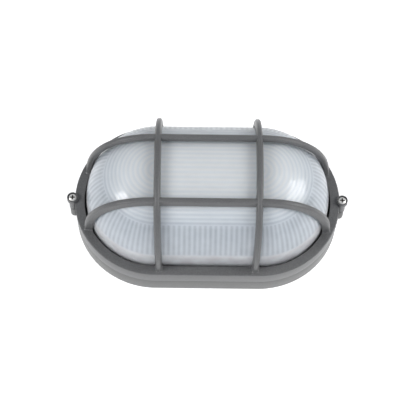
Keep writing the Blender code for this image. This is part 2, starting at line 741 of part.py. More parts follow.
def make_cover_screws(finish):
    """The two cover screws in the lugs, with cross recesses."""
    length = HEAD_SEAT - SHOULDER + COVER_THREAD_LENGTH
    for side, name in ((-1, "cover_screw_left"), (1, "cover_screw_right")):
        screw = pan_screw(COVER_HEAD_RADIUS, COVER_HEAD_HEIGHT, COVER_SHANK_RADIUS, length, LATHE_STEPS)
        recess = cross_recess()
        for shape in (screw, recess):
            bmesh.ops.translate(shape, verts=shape.verts, vec=(side * LUG_X, 0, HEAD_SEAT))
        boolean(place(screw, name, finish), recess, "DIFFERENCE")


def small_screw(name, spot, length, finish, turn=None):
    """A slotted screw with its head's underside at `spot`, pointing down its own -Z."""
    screw = pan_screw(SMALL_HEAD_RADIUS, SMALL_HEAD_HEIGHT, SMALL_SHANK_RADIUS, length, SMALL_STEPS)
    low = (-2 * SMALL_HEAD_RADIUS, -SLOT_WIDTH / 2, SMALL_HEAD_HEIGHT * 0.6)
    high = (2 * SMALL_HEAD_RADIUS, SLOT_WIDTH / 2, SMALL_HEAD_HEIGHT * 2)
    slot = block(low, high)
    move = Matrix.Translation(spot) @ (turn or Matrix.Identity(4))
    for shape in (screw, slot):
        bmesh.ops.transform(shape, verts=shape.verts, matrix=move)
    boolean(place(screw, name, finish), slot, "DIFFERENCE")


# Gear tray and lampholder

def make_tray(finish):
    """The tray: a pressed sheet with a turned-up rim that also throws the light forward."""
    flat = TRAY_RADIUS - TRAY_RIM_WIDTH
    slope = math.atan2(TRAY_RIM_RISE, TRAY_RIM_WIDTH)
    shift = TRAY_SHEET * math.tan(slope / 2)
    rim = TRAY_HEIGHT + TRAY_RIM_RISE
    in_edge = TRAY_SHEET * math.sin(slope)
    profile = [(flat + shift, TRAY_HEIGHT), (TRAY_RADIUS, rim)]
    profile += [(TRAY_RADIUS - in_edge, rim + TRAY_SHEET * math.cos(slope)), (flat, TRAY_TOP)]
    sheet = loft([stadium(radius, height, GLASS_ARC_STEPS) for radius, height in profile])
    tray = place(sheet, "gear_tray", finish)
    holes = bmesh.new()
    for x, y in tray_screw_places():
        holes = post(x, y, SMALL_SHANK_RADIUS + SHANK_GAP, BASE_FLOOR, 2 * TRAY_TOP, bm=holes)
    for side in (-1, 1):
        place_x = BRACKET_SCREW_PLACE
        holes = post(place_x, side * LEAD_HOLE_Y, LEAD_HOLE_RADIUS, BASE_FLOOR, 2 * TRAY_TOP, bm=holes)
    boolean(tray, holes, "DIFFERENCE")
    return tray


def make_bracket(finish):
    """The lampholder's bracket: a strip folded to an L, its foot screwed down on the tray."""
    bottom = TRAY_TOP + SEAT_GAP
    top = LAMP_AXIS + HOLDER_RADIUS * 0.8
    bend = BRACKET_SHEET * 2
    side = []
    side.append((BRACKET_X + BRACKET_FOOT, bottom))
    for angle in (-90, -120, -150, -180):
        turn = math.radians(angle)
        side.append((BRACKET_X + bend + bend * math.cos(turn), bottom + bend + bend * math.sin(turn)))
    side.append((BRACKET_X, top))
    side.append((BRACKET_X + BRACKET_SHEET, top))
    inner = bend - BRACKET_SHEET
    for angle in (-180, -150, -120, -90):
        turn = math.radians(angle)
        side.append((BRACKET_X + bend + inner * math.cos(turn), bottom + bend + inner * math.sin(turn)))
    side.append((BRACKET_X + BRACKET_FOOT, bottom + BRACKET_SHEET))
    outlines = []
    for edge in (-BRACKET_WIDTH / 2, BRACKET_WIDTH / 2):
        outlines.append([(4 * k / len(side), (x, edge, z)) for k, (x, z) in enumerate(side)])
    bracket = place(loft(outlines), "lampholder_bracket", finish)
    holes = bmesh.new()
    radius = SMALL_SHANK_RADIUS + SHANK_GAP
    for edge in (-1, 1):
        spot = (BRACKET_SCREW_PLACE, edge * BRACKET_SCREW_Y)
        holes = post(*spot, radius, TRAY_HEIGHT, TRAY_TOP + 3 * BRACKET_SHEET, bm=holes)
        spot = (BRACKET_X, edge * HOLDER_SCREW_Y, LAMP_AXIS)
        profile = [(radius, -BRACKET_SHEET), (radius, 2 * BRACKET_SHEET)]
        holes = lathe(profile, SMALL_STEPS, bm=holes, about_x=True, centre=spot)
    boolean(bracket, holes, "DIFFERENCE")
    return bracket


def make_holder(finish):
    """The lampholder's glazed body: a cup turned about the lamp's axis."""
    mouth = HOLDER_MOUTH
    waist = HOLDER_RADIUS - HOLDER_WAIST_STEP
    shoulder = (HOLDER_X + mouth) / 2
    profile = [(waist, HOLDER_X), (waist, shoulder - HOLDER_WAIST_STEP)]
    profile += [(HOLDER_RADIUS, shoulder + HOLDER_WAIST_STEP)]
    profile += [(HOLDER_RADIUS, mouth - EDGE_RADIUS)]
    profile += [(HOLDER_RADIUS - EDGE_RADIUS, mouth), (HOLDER_BORE, mouth), (HOLDER_BORE, HOLDER_FLOOR)]
    body = lathe(profile, about_x=True, centre=(0, 0, LAMP_AXIS))
    holder = place(body, "lampholder_body", finish)
    holes = bmesh.new()
    radius = SMALL_SHANK_RADIUS + SHANK_GAP
    for side in (-1, 1):
        spot = (HOLDER_X, side * HOLDER_SCREW_Y, LAMP_AXIS)
        profile = [(radius, -BRACKET_SHEET), (radius, SMALL_SCREW_GRIP - SEAT_GAP)]
        holes = lathe(profile, SMALL_STEPS, bm=holes, about_x=True, centre=spot)
        bore = LEAD_RADIUS + SHANK_GAP
        reach = HOLDER_RADIUS - LEAD_ENTRY_DEPTH - LEAD_BORE_SPARE
        entry = lathe([(bore, -HOLDER_RADIUS * 1.2), (bore, -reach)], SMALL_STEPS)
        turn = Matrix.Rotation(side * math.pi / 2, 4, "X")
        shift = Matrix.Translation((lead_entry_x(), 0, LAMP_AXIS))
        bmesh.ops.transform(entry, verts=entry.verts, matrix=shift @ turn)
        holes = add_to(holes, entry)
    boolean(holder, holes, "DIFFERENCE")
    return holder


def lead_entry_x():
    """Place along the lampholder where the two leads go into its side."""
    return HOLDER_X + HOLDER_BACK / 2


def make_shell(finish):
    """The threaded sleeve that the lamp's cap screws into."""
    end = HOLDER_MOUTH - EDGE_RADIUS
    profile = [(SHELL_RADIUS, LAMP_X), (SHELL_RADIUS, end), (SHELL_INNER, end), (SHELL_INNER, LAMP_X)]
    sleeve = lathe(profile, ring=True, about_x=True, centre=(0, 0, LAMP_AXIS))
    return place(sleeve, "lampholder_shell", finish)


def make_contact(finish):
    """The spring contact: a strip on the holder's floor folded back over itself."""
    floor = HOLDER_FLOOR + SEAT_GAP
    reach = HOLDER_BORE * 0.55
    sheet = CONTACT_SHEET
    lift = CONTACT_TOP
    side = [(floor, -reach), (floor, reach), (lift + sheet, reach * 0.7)]
    side += [(lift + sheet, -reach * 0.3), (lift, -reach * 0.3), (lift, reach * 0.55)]
    side += [(floor + sheet, reach * 0.75), (floor + sheet, -reach)]
    outlines = []
    for edge in (-CONTACT_WIDTH / 2, CONTACT_WIDTH / 2):
        outlines.append([(4 * k / len(side), (x, edge, LAMP_AXIS + z)) for k, (x, z) in enumerate(side)])
    return place(loft(outlines), "lampholder_contact", finish)


def make_lamp(finish):
    """The lamp: cap, neck and globe as one sealed solid."""
    cap_end = LAMP_CAP_LENGTH
    profile = [(LAMP_TIP_RADIUS, 0), (LAMP_TIP_RADIUS * 1.2, LAMP_TIP_HEIGHT)]
    profile += [(LAMP_CAP_RADIUS * 0.8, LAMP_TIP_HEIGHT * 5 / 3)]
    profile += [(LAMP_CAP_RADIUS, LAMP_TIP_HEIGHT + LAMP_CAP_SLOPE), (LAMP_CAP_RADIUS, cap_end)]
    middle = LAMP_LENGTH - LAMP_RADIUS
    shoulder = math.radians(130)
    start = (LAMP_NECK_RADIUS, cap_end + LAMP_TIP_HEIGHT)
    meet = (LAMP_RADIUS * math.sin(shoulder), middle + LAMP_RADIUS * math.cos(shoulder))
    for share in (0.0, 0.35, 0.7):
        ease = share * share * (3 - 2 * share)
        along = start[1] + (meet[1] - start[1]) * share
        profile.append((start[0] + (meet[0] - start[0]) * ease, along))
    for angle in range(130, 0, -18):
        turn = math.radians(angle)
        profile.append((LAMP_RADIUS * math.sin(turn), middle + LAMP_RADIUS * math.cos(turn)))
    bulb = lathe(profile, about_x=True, centre=(LAMP_X, 0, LAMP_AXIS))
    return place(bulb, "lamp", finish)


# Terminal block, earth point, leads and grommet

def pole_offsets():
    """Y of each pole of the terminal block."""
    middle = (POLE_COUNT - 1) / 2
    return [(k - middle) * POLE_PITCH for k in range(POLE_COUNT)]


def pole_cylinder(radius, start, end, y, bm):
    """A cylinder along X on the axis of a pole."""
    profile = [(radius, start), (radius, end)]
    return lathe(profile, SMALL_STEPS, bm=bm, about_x=True, centre=(BLOCK_X, y, POLE_HEIGHT))


def make_block(finish):
    """The terminal block's moulding, with a bore for each pole and wells for its screws."""
    half = BLOCK_LENGTH / 2
    low = (BLOCK_X - half, -BLOCK_EDGE, BASE_FLOOR + SEAT_GAP)
    body = place(block(low, (BLOCK_X + half, BLOCK_EDGE, BLOCK_TOP)), "terminal_block", finish)
    ear_low = (BLOCK_X - EAR_WIDTH / 2, BLOCK_EDGE - BLOCK_WALL / 2, EAR_SEAT)
    ear_high = (BLOCK_X + EAR_WIDTH / 2, BLOCK_EDGE + EAR_LENGTH, EAR_SEAT + EAR_THICKNESS)
    boolean(body, block(ear_low, ear_high), "UNION")
    bores = bmesh.new()
    wells = bmesh.new()
    for y in pole_offsets():
        bores = pole_cylinder(SLEEVE_RADIUS + SEAT_GAP, -BLOCK_LENGTH, BLOCK_LENGTH, y, bores)
        for x in clamp_screw_x():
            radius = CLAMP_SCREW_RADIUS + 2 * SEAT_GAP
            wells = post(x, y, radius, POLE_HEIGHT, 2 * BLOCK_TOP, bm=wells)
    wells = post(BLOCK_X, EAR_Y, SMALL_SHANK_RADIUS + SHANK_GAP, BASE_FLOOR, BLOCK_TOP, bm=wells)
    boolean(body, bores, "DIFFERENCE")
    boolean(body, wells, "DIFFERENCE")
    return body


def clamp_screw_x():
    """X of the two clamp screws of a pole."""
    reach = BLOCK_LENGTH / 2 - BLOCK_WALL - CLAMP_SCREW_RADIUS
    return (BLOCK_X - reach, BLOCK_X + reach)


def make_sleeves(finish):
    """The brass sleeves in the block, one to a pole, each drilled for its two screws."""
    half = BLOCK_LENGTH / 2 - SEAT_GAP
    for pole, y in enumerate(pole_offsets(), 1):
        profile = [(SLEEVE_RADIUS, -half), (SLEEVE_RADIUS, half)]
        profile += [(SLEEVE_BORE_RADIUS, half), (SLEEVE_BORE_RADIUS, -half)]
        spot = (BLOCK_X, y, POLE_HEIGHT)
        tube = lathe(profile, SMALL_STEPS, ring=True, about_x=True, centre=spot)
        wells = bmesh.new()
        for x in clamp_screw_x():
            wells = post(x, y, CLAMP_SCREW_RADIUS + SEAT_GAP, POLE_HEIGHT, 2 * BLOCK_TOP, bm=wells)
        boolean(place(tube, f"terminal_sleeve_{pole}", finish), wells, "DIFFERENCE")


def make_clamp_screws(finish):
    """The grub screws that clamp the conductors, two to a pole."""
    foot = POLE_HEIGHT + SLEEVE_BORE_RADIUS - SEAT_GAP
    for pole, y in enumerate(pole_offsets(), 1):
        for x, end in zip(clamp_screw_x(), ("lamp", "mains")):
            screw = post(x, y, CLAMP_SCREW_RADIUS, foot, BLOCK_TOP - SEAT_GAP)
            place(screw, f"clamp_screw_{pole}_{end}_side", finish)


def make_earth_tag(finish):
    """The ring tag on the earth boss, with the barrel that holds its lead."""
    bottom = EARTH_TOP + SEAT_GAP
    hole = SMALL_SHANK_RADIUS + SHANK_GAP
    profile = [(TAG_RADIUS, bottom), (TAG_RADIUS, bottom + TAG_SHEET)]
    profile += [(hole, bottom + TAG_SHEET), (hole, bottom)]
    eye = lathe(profile, SMALL_STEPS, ring=True, centre=(EARTH_X, EARTH_Y, 0))
    tag = place(eye, "earth_tag", finish)
    barrel_radius = LEAD_RADIUS + SHANK_GAP + TAG_SHEET
    start = (EARTH_X + TAG_RADIUS * 0.8, EARTH_Y, bottom + barrel_radius)
    profile = [(barrel_radius, 0), (barrel_radius, TAG_BARREL_LENGTH)]
    tube = lathe(profile, SMALL_STEPS, about_x=True, centre=start)
    boolean(tag, tube, "UNION")
    bore_radius = barrel_radius - TAG_SHEET
    profile = [(bore_radius, TAG_SHEET), (bore_radius, TAG_BARREL_LENGTH * 1.5)]
    bore = lathe(profile, SMALL_STEPS, about_x=True, centre=start)
    boolean(tag, bore, "DIFFERENCE")
    return tag


def smooth_route(points):
    """Points about LEAD_STEP apart on a Catmull-Rom curve through `points`."""
    knots = [Vector(p) for p in points]
    knots = [knots[0] * 2 - knots[1]] + knots + [knots[-1] * 2 - knots[-2]]
    dense = []
    for a, b, c, d in zip(knots, knots[1:], knots[2:], knots[3:]):
        for k in range(20):
            t = k / 20
            bend = (2 * a - 5 * b + 4 * c - d) * t ** 2 + (3 * b - a - 3 * c + d) * t ** 3
            dense.append(tuple((2 * b + (c - a) * t + bend) / 2))
    dense.append(tuple(knots[-2]))
    dense = np.array(dense)
    run = np.concatenate(([0.0], np.cumsum(np.linalg.norm(np.diff(dense, axis=0), axis=1))))
    even = np.linspace(0, run[-1], max(4, round(run[-1] / LEAD_STEP)))
    return np.stack([np.interp(even, run, dense[:, axis]) for axis in range(3)], axis=1)


def make_lead(name, points, finish):
    """One insulated lead along a smooth route."""
    curve = bpy.data.curves.new(name, "CURVE")
    curve.dimensions = "3D"
    curve.bevel_depth = LEAD_RADIUS
    curve.bevel_resolution = 2
    curve.use_fill_caps = True
    spline = curve.splines.new("POLY")
    route = smooth_route(points)
    spline.points.add(len(route) - 1)
    for point, spot in zip(spline.points, route):
        point.co = (*spot, 1.0)
    lead = bpy.data.objects.new(name, curve)
    lead.data.materials.append(finish)
    bpy.context.scene.collection.objects.link(lead)
    return lead


def make_leads(live_finish, neutral_finish, earth_finish):
    """The two leads to the lampholder, and the earth lead to its tag.

    Live and neutral run along the floor on either side of the tray's pillar, rise through
    the tray and turn into the side of the lampholder.
    """
    start = BLOCK_X - BLOCK_LENGTH * 0.42
    out = start - LEAD_STRAIGHT
    earth_pole, neutral_pole, live_pole = pole_offsets()
    low = BASE_FLOOR + 3 * LEAD_RADIUS
    rise_x = BRACKET_SCREW_PLACE
    past_pillar = PILLAR_RADIUS + 3 * LEAD_RADIUS
    runs = (("live_lead", 1, live_pole, live_finish), ("neutral_lead", -1, neutral_pole, neutral_finish))
    for name, side, pole, finish in runs:
        entry = side * (HOLDER_RADIUS - LEAD_ENTRY_DEPTH)
        swing = side * (HOLDER_RADIUS + LEAD_SWING)
        make_lead(name, (
            (start, pole, POLE_HEIGHT),
            (out, pole, POLE_HEIGHT),
            (TRAY_SCREW_X, side * past_pillar, low),
            (0.0, side * 0.0150, low),
            (-0.040, side * LEAD_HOLE_Y, low),
            (rise_x + 0.012, side * LEAD_HOLE_Y, low + 0.0035),
            (rise_x, side * LEAD_HOLE_Y, TRAY_HEIGHT - 0.003),
            (rise_x, side * LEAD_HOLE_Y, TRAY_TOP + LEAD_LIFT),
            (lead_entry_x() + 0.002, swing, LAMP_AXIS - 0.014),
            (lead_entry_x(), swing, LAMP_AXIS - LEAD_LIFT),
            (lead_entry_x(), side * (HOLDER_RADIUS + LEAD_SWING / 2), LAMP_AXIS),
            (lead_entry_x(), side * HOLDER_RADIUS, LAMP_AXIS),
            (lead_entry_x(), side * (HOLDER_RADIUS - 0.0025), LAMP_AXIS),
            (lead_entry_x(), entry, LAMP_AXIS),
        ), finish)
    barrel = EARTH_TOP + SEAT_GAP + LEAD_RADIUS + SHANK_GAP + TAG_SHEET
    tag_end = EARTH_X + TAG_RADIUS * 0.8
    make_lead("earth_lead", (
        (start, earth_pole, POLE_HEIGHT),
        (out, earth_pole, POLE_HEIGHT),
        (tag_end + 0.022, EARTH_Y + 0.008, low + 0.003),
        (tag_end + 0.014, EARTH_Y, barrel),
        (tag_end + 0.007, EARTH_Y, barrel),
        (tag_end + TAG_SHEET + SEAT_GAP, EARTH_Y, barrel),
    ), earth_finish)


def make_grommet(finish):
    """The rubber grommet in the back, grooved round the edge of its hole."""
    outer = GROMMET_HOLE_RADIUS + GROMMET_FLANGE
    low = SEAT_GAP
    inside = grommet_seat() + SEAT_GAP
    profile = [(outer, low), (outer, low + GROMMET_LIP), (GROMMET_HOLE_RADIUS, low + GROMMET_LIP)]
    profile += [(GROMMET_HOLE_RADIUS, inside), (outer - EDGE_RADIUS / 2, inside)]
    profile += [(outer - EDGE_RADIUS, inside + GROMMET_LIP), (GROMMET_BORE_RADIUS * 1.4, inside + GROMMET_LIP)]
    profile += [(GROMMET_BORE_RADIUS, inside + 2 * GROMMET_LIP), (GROMMET_BORE_RADIUS, low)]
    ring = lathe(profile, ring=True, centre=(GROMMET_X, 0, 0))
    return place(ring, "cable_grommet", finish)


def build():
    """Clear the scene and make every piece."""
    for old in list(bpy.data.objects):
        bpy.data.objects.remove(old)
    guard_grey = material("guard_grey_enamel", (0.125, 0.127, 0.132), 0.55)
    base_grey = material("base_grey_enamel", (0.127, 0.126, 0.124), 0.55)
    glass = material("ribbed_pressed_glass", (0.82, 0.87, 0.90), 0.25, transmission=0.8)
    rubber = material("gasket_rubber", (0.015, 0.015, 0.016), 0.75)
    plated = material("zinc_plated_screw", (0.78, 0.77, 0.74), 0.28, 1.0)
    small = material("inner_plated_screw", (0.70, 0.69, 0.66), 0.32, 1.0)
    sheet = material("tray_white_enamel", (0.80, 0.80, 0.78), 0.35)
    steel = material("bracket_zinc_steel", (0.62, 0.62, 0.60), 0.40, 1.0)
    porcelain = material("holder_porcelain", (0.85, 0.84, 0.80), 0.18)
    brass = material("sleeve_brass", (0.78, 0.60, 0.26), 0.30, 1.0)
    contact = material("contact_bronze", (0.72, 0.48, 0.24), 0.35, 1.0)
    opal = material("lamp_opal", (0.90, 0.90, 0.87), 0.30)
    nylon = material("terminal_nylon", (0.83, 0.82, 0.76), 0.50)
    live = material("live_brown", (0.13, 0.06, 0.03), 0.50)
    neutral = material("neutral_blue", (0.03, 0.12, 0.42), 0.50)
    earth = material("earth_green_yellow", (0.30, 0.48, 0.05), 0.50)

    make_guard(guard_grey)
    make_base(base_grey)
    make_glass(glass)
    make_gasket(rubber)
    make_cover_screws(plated)
    make_tray(sheet)
    make_bracket(steel)
    make_holder(porcelain)
    make_shell(brass)
    make_contact(contact)
    make_lamp(opal)
    make_block(nylon)
    make_sleeves(brass)
    make_clamp_screws(small)
    make_earth_tag(contact)
    make_leads(live, neutral, earth)
    make_grommet(rubber)
    make_small_screws(small)


def make_small_screws(finish):
    """The screws inside: two in the bracket's foot, one in the tray, two in the lampholder,
    one in the terminal block's ear and one on the earth boss."""
    foot_seat = TRAY_TOP + SEAT_GAP + BRACKET_SHEET + SEAT_GAP
    length = foot_seat - TRAY_HEIGHT + SMALL_SCREW_GRIP - SEAT_GAP
    for (x, y), name in zip(tray_screw_places(), ("bracket_screw_front", "bracket_screw_rear")):
        small_screw(name, (x, y, foot_seat), length, finish)
    x, y = tray_screw_places()[2]
    tray_seat = TRAY_TOP + SEAT_GAP
    length = tray_seat - TRAY_HEIGHT + SMALL_SCREW_GRIP - SEAT_GAP
    small_screw("tray_screw", (x, y, tray_seat), length, finish)
    back = BRACKET_X - SEAT_GAP
    length = HOLDER_X - back + SMALL_SCREW_GRIP - 2 * SEAT_GAP
    forward = Matrix.Rotation(-math.pi / 2, 4, "Y")
    for side, name in ((-1, "lampholder_screw_front"), (1, "lampholder_screw_rear")):
        small_screw(name, (back, side * HOLDER_SCREW_Y, LAMP_AXIS), length, finish, forward)
    earth_seat = EARTH_TOP + TAG_SHEET + 2 * SEAT_GAP
    small_screw("earth_screw", (EARTH_X, EARTH_Y, earth_seat), earth_seat - floor_grip(), finish)
    ear_top = EAR_SEAT + EAR_THICKNESS + SEAT_GAP
    small_screw("terminal_block_screw", (BLOCK_X, EAR_Y, ear_top), ear_top - floor_grip(), finish)


build()
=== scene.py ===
"""The looks of the oval bulkhead light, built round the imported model: finer castings, the
ribbed glass, the screws, a finish for every piece, and the photograph's view and light.

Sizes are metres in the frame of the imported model. A stadium is two half circles about the
ends of a spine that lies on X. Its stations go once round it, and every section is a
profile of (radius from the spine, height).
"""

import json
import math

import bmesh
import bpy
import numpy as np
from mathutils import Matrix, Vector


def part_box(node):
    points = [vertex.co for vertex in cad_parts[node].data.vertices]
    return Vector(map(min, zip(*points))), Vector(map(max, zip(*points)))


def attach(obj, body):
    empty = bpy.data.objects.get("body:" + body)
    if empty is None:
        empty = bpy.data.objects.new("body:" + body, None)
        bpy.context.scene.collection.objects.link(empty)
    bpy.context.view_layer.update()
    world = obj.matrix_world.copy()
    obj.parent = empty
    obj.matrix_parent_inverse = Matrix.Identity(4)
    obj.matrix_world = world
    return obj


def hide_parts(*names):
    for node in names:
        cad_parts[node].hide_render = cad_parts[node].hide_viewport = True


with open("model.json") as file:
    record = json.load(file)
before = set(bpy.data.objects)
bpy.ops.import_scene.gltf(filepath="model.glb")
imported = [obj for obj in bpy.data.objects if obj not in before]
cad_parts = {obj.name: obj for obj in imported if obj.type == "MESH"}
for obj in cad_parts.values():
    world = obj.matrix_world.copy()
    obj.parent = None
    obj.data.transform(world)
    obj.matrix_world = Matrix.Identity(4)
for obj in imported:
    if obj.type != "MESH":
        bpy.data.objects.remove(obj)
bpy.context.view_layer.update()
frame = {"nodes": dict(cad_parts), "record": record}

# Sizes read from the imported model
guard_low, guard_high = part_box("guard_frame")
glass_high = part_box("glass_diffuser")[1]
gasket_low, gasket_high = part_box("glass_gasket")
base_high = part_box("base_housing")[1]
screw_low, screw_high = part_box("cover_screw_right")
grommet_low, grommet_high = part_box("cable_grommet")
HALF_SPINE = glass_high.x - glass_high.y
END_RADIUS = guard_high.y
FLANGE_RADIUS = glass_high.y
GASKET_RADIUS = gasket_high.y
RIM_TOP = base_high.z
LUG_X = (screw_low.x + screw_high.x) / 2
HEAD_RADIUS = (screw_high.x - screw_low.x) / 2
SKIRT_BOTTOM = guard_low.z

# Glass
GLASS_RISE = 0.0660
GLASS_WALL = 0.0040
GLASS_EXPONENT = 2.45
FLANGE_WIDTH = 0.0050
FLANGE_THICKNESS = 0.0035
FLANGE_DROP = 0.0086
GASKET_LEG = 0.0014
GASKET_CLEARANCE = 0.0003
RIB_COUNT = 12
RIB_PITCH = 0.0041
RIB_CROWDING = 0.176
RIB_DEPTH = 0.0006
RIB_SAMPLES = 5
FLUTE_PITCH = 0.0048
FLUTE_DEPTH = 0.0005
FLUTE_END_HEIGHT = 0.0175
FLUTE_RUN_OUT = 0.0015
FLUTE_SAMPLES = 6
FACE = glass_high.z - GLASS_RISE
GLASS_RADIUS = FLANGE_RADIUS - FLANGE_WIDTH
GLASS_INNER = GLASS_RADIUS - GLASS_WALL
CROWN = RIB_PITCH * RIB_COUNT

# Guard ring and lugs
RING_FACE_WIDTH = 0.0090
RING_PLATE = 0.0032
RING_LIP_WALL = 0.0026
RING_LIP_DEPTH = 0.0066
WALL_DRAFT = 0.0300
SKIRT_INNER = GASKET_RADIUS + 0.0005
EDGE_RADIUS = 0.0010
SEAM_CLOSED = 0.0002
LUG_RADIUS = 0.00525
LUG_RISE = 0.0035
LUG_DEPTH = 0.0062
LUG_POST_RADIUS = 0.0036
LUG_POCKET = HEAD_RADIUS + 0.00035
LUG_HOLE = LUG_POCKET * 0.54

# Cover screws: the head's height and the room under it, how far its cap falls towards its edge,
# and the cross recess with its arm's half width and its reach as shares of the head's radius
HEAD_HEIGHT = 0.0026
HEAD_CLEARANCE = 0.0003
SHANK_RADIUS = 0.00195
CAP_EDGE_FALL = 0.0006
CAP_ROUND_FALL = 0.0003
RECESS_DEPTH = 0.0018
RECESS_DEPTH_LOST = 0.0008
RECESS_SLOPE = 0.00022
RECESS_ARM = 0.19
RECESS_ARM_LOST = 0.07
RECESS_REACH = 0.62
RECESS_END_FADE = 0.12

# Cage bars: BAR_CORNERS are (inset, drop) from the flank and from the crest
BAR_WIDTH = 0.0067
BAR_CORNERS = ((0.0019, 0.0), (0.0009, 0.0010), (0.0005, 0.0032))
BAR_SOFTNESS = 0.0004
FOOT_FILLET = 0.0010
FOOT_ROOT = 0.0016
CROSS_FOOT_TO_GLASS = 0.0008
LONG_FOOT_OVERHANG = 0.0005
CROSSING_FILLET = 0.0010
CROSS_BAR_X = 0.0449
CROSS_BAR_LEAN = 0.0021
CROSS_BAR_EXPONENT = 2.4
CROSS_BAR_DEPTHS = (0.0068, 0.0064)
CROSS_BAR_TO_GLASS = 0.0029
LONG_BAR_Y = 0.0293
LONG_BAR_LEAN = 0.0031
LONG_BAR_EXPONENT = 2.25
LONG_BAR_DEPTHS = (0.0062, 0.0056)
LONG_BAR_SLANT = 0.0032
LONG_BAR_TO_GLASS = 0.0033

# Base casting
BASE_FLOOR = 0.0028
BASE_WALL = 0.0026
SHOULDER_GAP = 0.0003
RIM_WIDTH = 0.0056
RIM_PLATE = 0.0033
RIM_STEP = 0.0017
BOSS_RADIUS = 0.0039
BOSS_TAPER = 0.0004
BOSS_INSET = 0.0007
BOSS_END = 0.0016
FIXING_X = 0.058
FIXING_Y = 0.042
FIXING_SLOT = (0.0104, 0.0056)
GROMMET_X = (grommet_low.x + grommet_high.x) / 2
GROMMET_HOLE = 0.0103
GROMMET_RECESS = (0.0129, 0.0018)
CUT_LOW = -0.002
CUT_HIGH = 0.006

# The photograph's view: direction of the camera, distance, and the focal length and the
# optical centre as shares of the picture's width
VIEW_ELEVATION = 65.03
VIEW_AZIMUTH = -1.74
VIEW_ROLL = 2.26
VIEW_DISTANCE = 1.9687
FOCAL_SHARE = 5.2104
CENTRE_SHIFT = (-0.0187, 0.0005)
SENSOR = 36.0

# Fineness: stations round an end and along a side, points round the turned pieces, rows
# along the arches, the points that measure an arch's length, the distance under which points
# are one, the length under which an edge is none, and the angle from which an edge is crisp
CASTING_STATIONS = (96, 48)
SLOT_STATIONS = (12, 1)
SCREW_SECTORS = 96
BOSS_SECTORS = 48
LUG_SECTORS = 64
BAR_FOOT_ROWS = 9
BAR_ARCH_ROWS = 72
BAR_RUN_ROWS = 80
GLASS_OUTER_ROWS = 34
GLASS_INNER_ROWS = 24
ARCH_POINTS = 4001
SAME_POINT = 1e-6
NO_LENGTH = 1e-7
CRISP_EDGE = 40


# Meshes from numpy grids

def outline(per_end, per_side):
    """Stations round the stadium as spine x, outward x and outward y.

    On a round end the outward direction turns through half a circle about the spine's end,
    and on a side it stays at right angles to the spine while the spine point moves along.
    """
    turn = math.pi * np.arange(per_end) / per_end - math.pi / 2
    slide = 1 - 2 * np.arange(per_side) / per_side
    spine = np.concatenate((np.ones(per_end), slide, -np.ones(per_end), -slide)) * HALF_SPINE
    out_x = np.concatenate((np.cos(turn), np.zeros(per_side), -np.cos(turn), np.zeros(per_side)))
    out_y = np.concatenate((np.sin(turn), np.ones(per_side), -np.sin(turn), -np.ones(per_side)))
    return spine, out_x, out_y


def swept(profile, stations):
    """Points of a profile carried round the stadium: spine + radius times outward, height."""
    spine, out_x, out_y = stations
    radius = np.asarray(profile)[..., 0]
    height = np.asarray(profile)[..., 1]
    if radius.ndim == 1:
        radius = radius[:, None]
        height = height[:, None]
    across = np.broadcast_to(spine + radius * out_x, (len(radius), len(spine)))
    along = np.broadcast_to(radius * out_y, across.shape)
    return np.stack((across, along, np.broadcast_to(height, across.shape)), axis=2)


def turned(profile, count, centre=(0.0, 0.0, 0.0)):
    """Points of a profile turned about a vertical axis: radius times cosine and sine, height."""
    radius, height = np.asarray(profile).T[:, :, None]
    angle = math.tau * np.arange(count) / count
    grid = np.stack((radius * np.cos(angle), radius * np.sin(angle), height + 0 * angle), axis=2)
    return grid + np.array(centre)


def rounded(points, radii, steps=4):
    """An open profile whose inner corners are rounded, each by its own radius.

    Each corner's arc is the quadratic curve from the point that lies a radius before the
    corner, through the corner's pull, to the point that lies a radius after it.
    """
    path = np.asarray(points, float)
    before = path[:-2] - path[1:-1]
    after = path[2:] - path[1:-1]
    pull = np.asarray(radii, float)[:, None]
    start = path[1:-1] + before / np.linalg.norm(before, axis=1)[:, None] * pull
    end = path[1:-1] + after / np.linalg.norm(after, axis=1)[:, None] * pull
    share = np.linspace(0, 1, steps + 1)[None, :, None]
    arcs = start[:, None] * (1 - share) ** 2 + 2 * path[1:-1, None] * share * (1 - share)
    arcs = arcs + end[:, None] * share ** 2
    return np.vstack((path[:1], arcs.reshape(-1, 2), path[-1:]))


def rounded_loop(points, radii, steps=3):
    """A closed outline whose corners are all rounded, as rounded() does it."""
    path = np.asarray(points, float)
    closed = np.vstack((path[-1:], path, path[:1]))
    return rounded(closed, radii, steps)[1:-1]


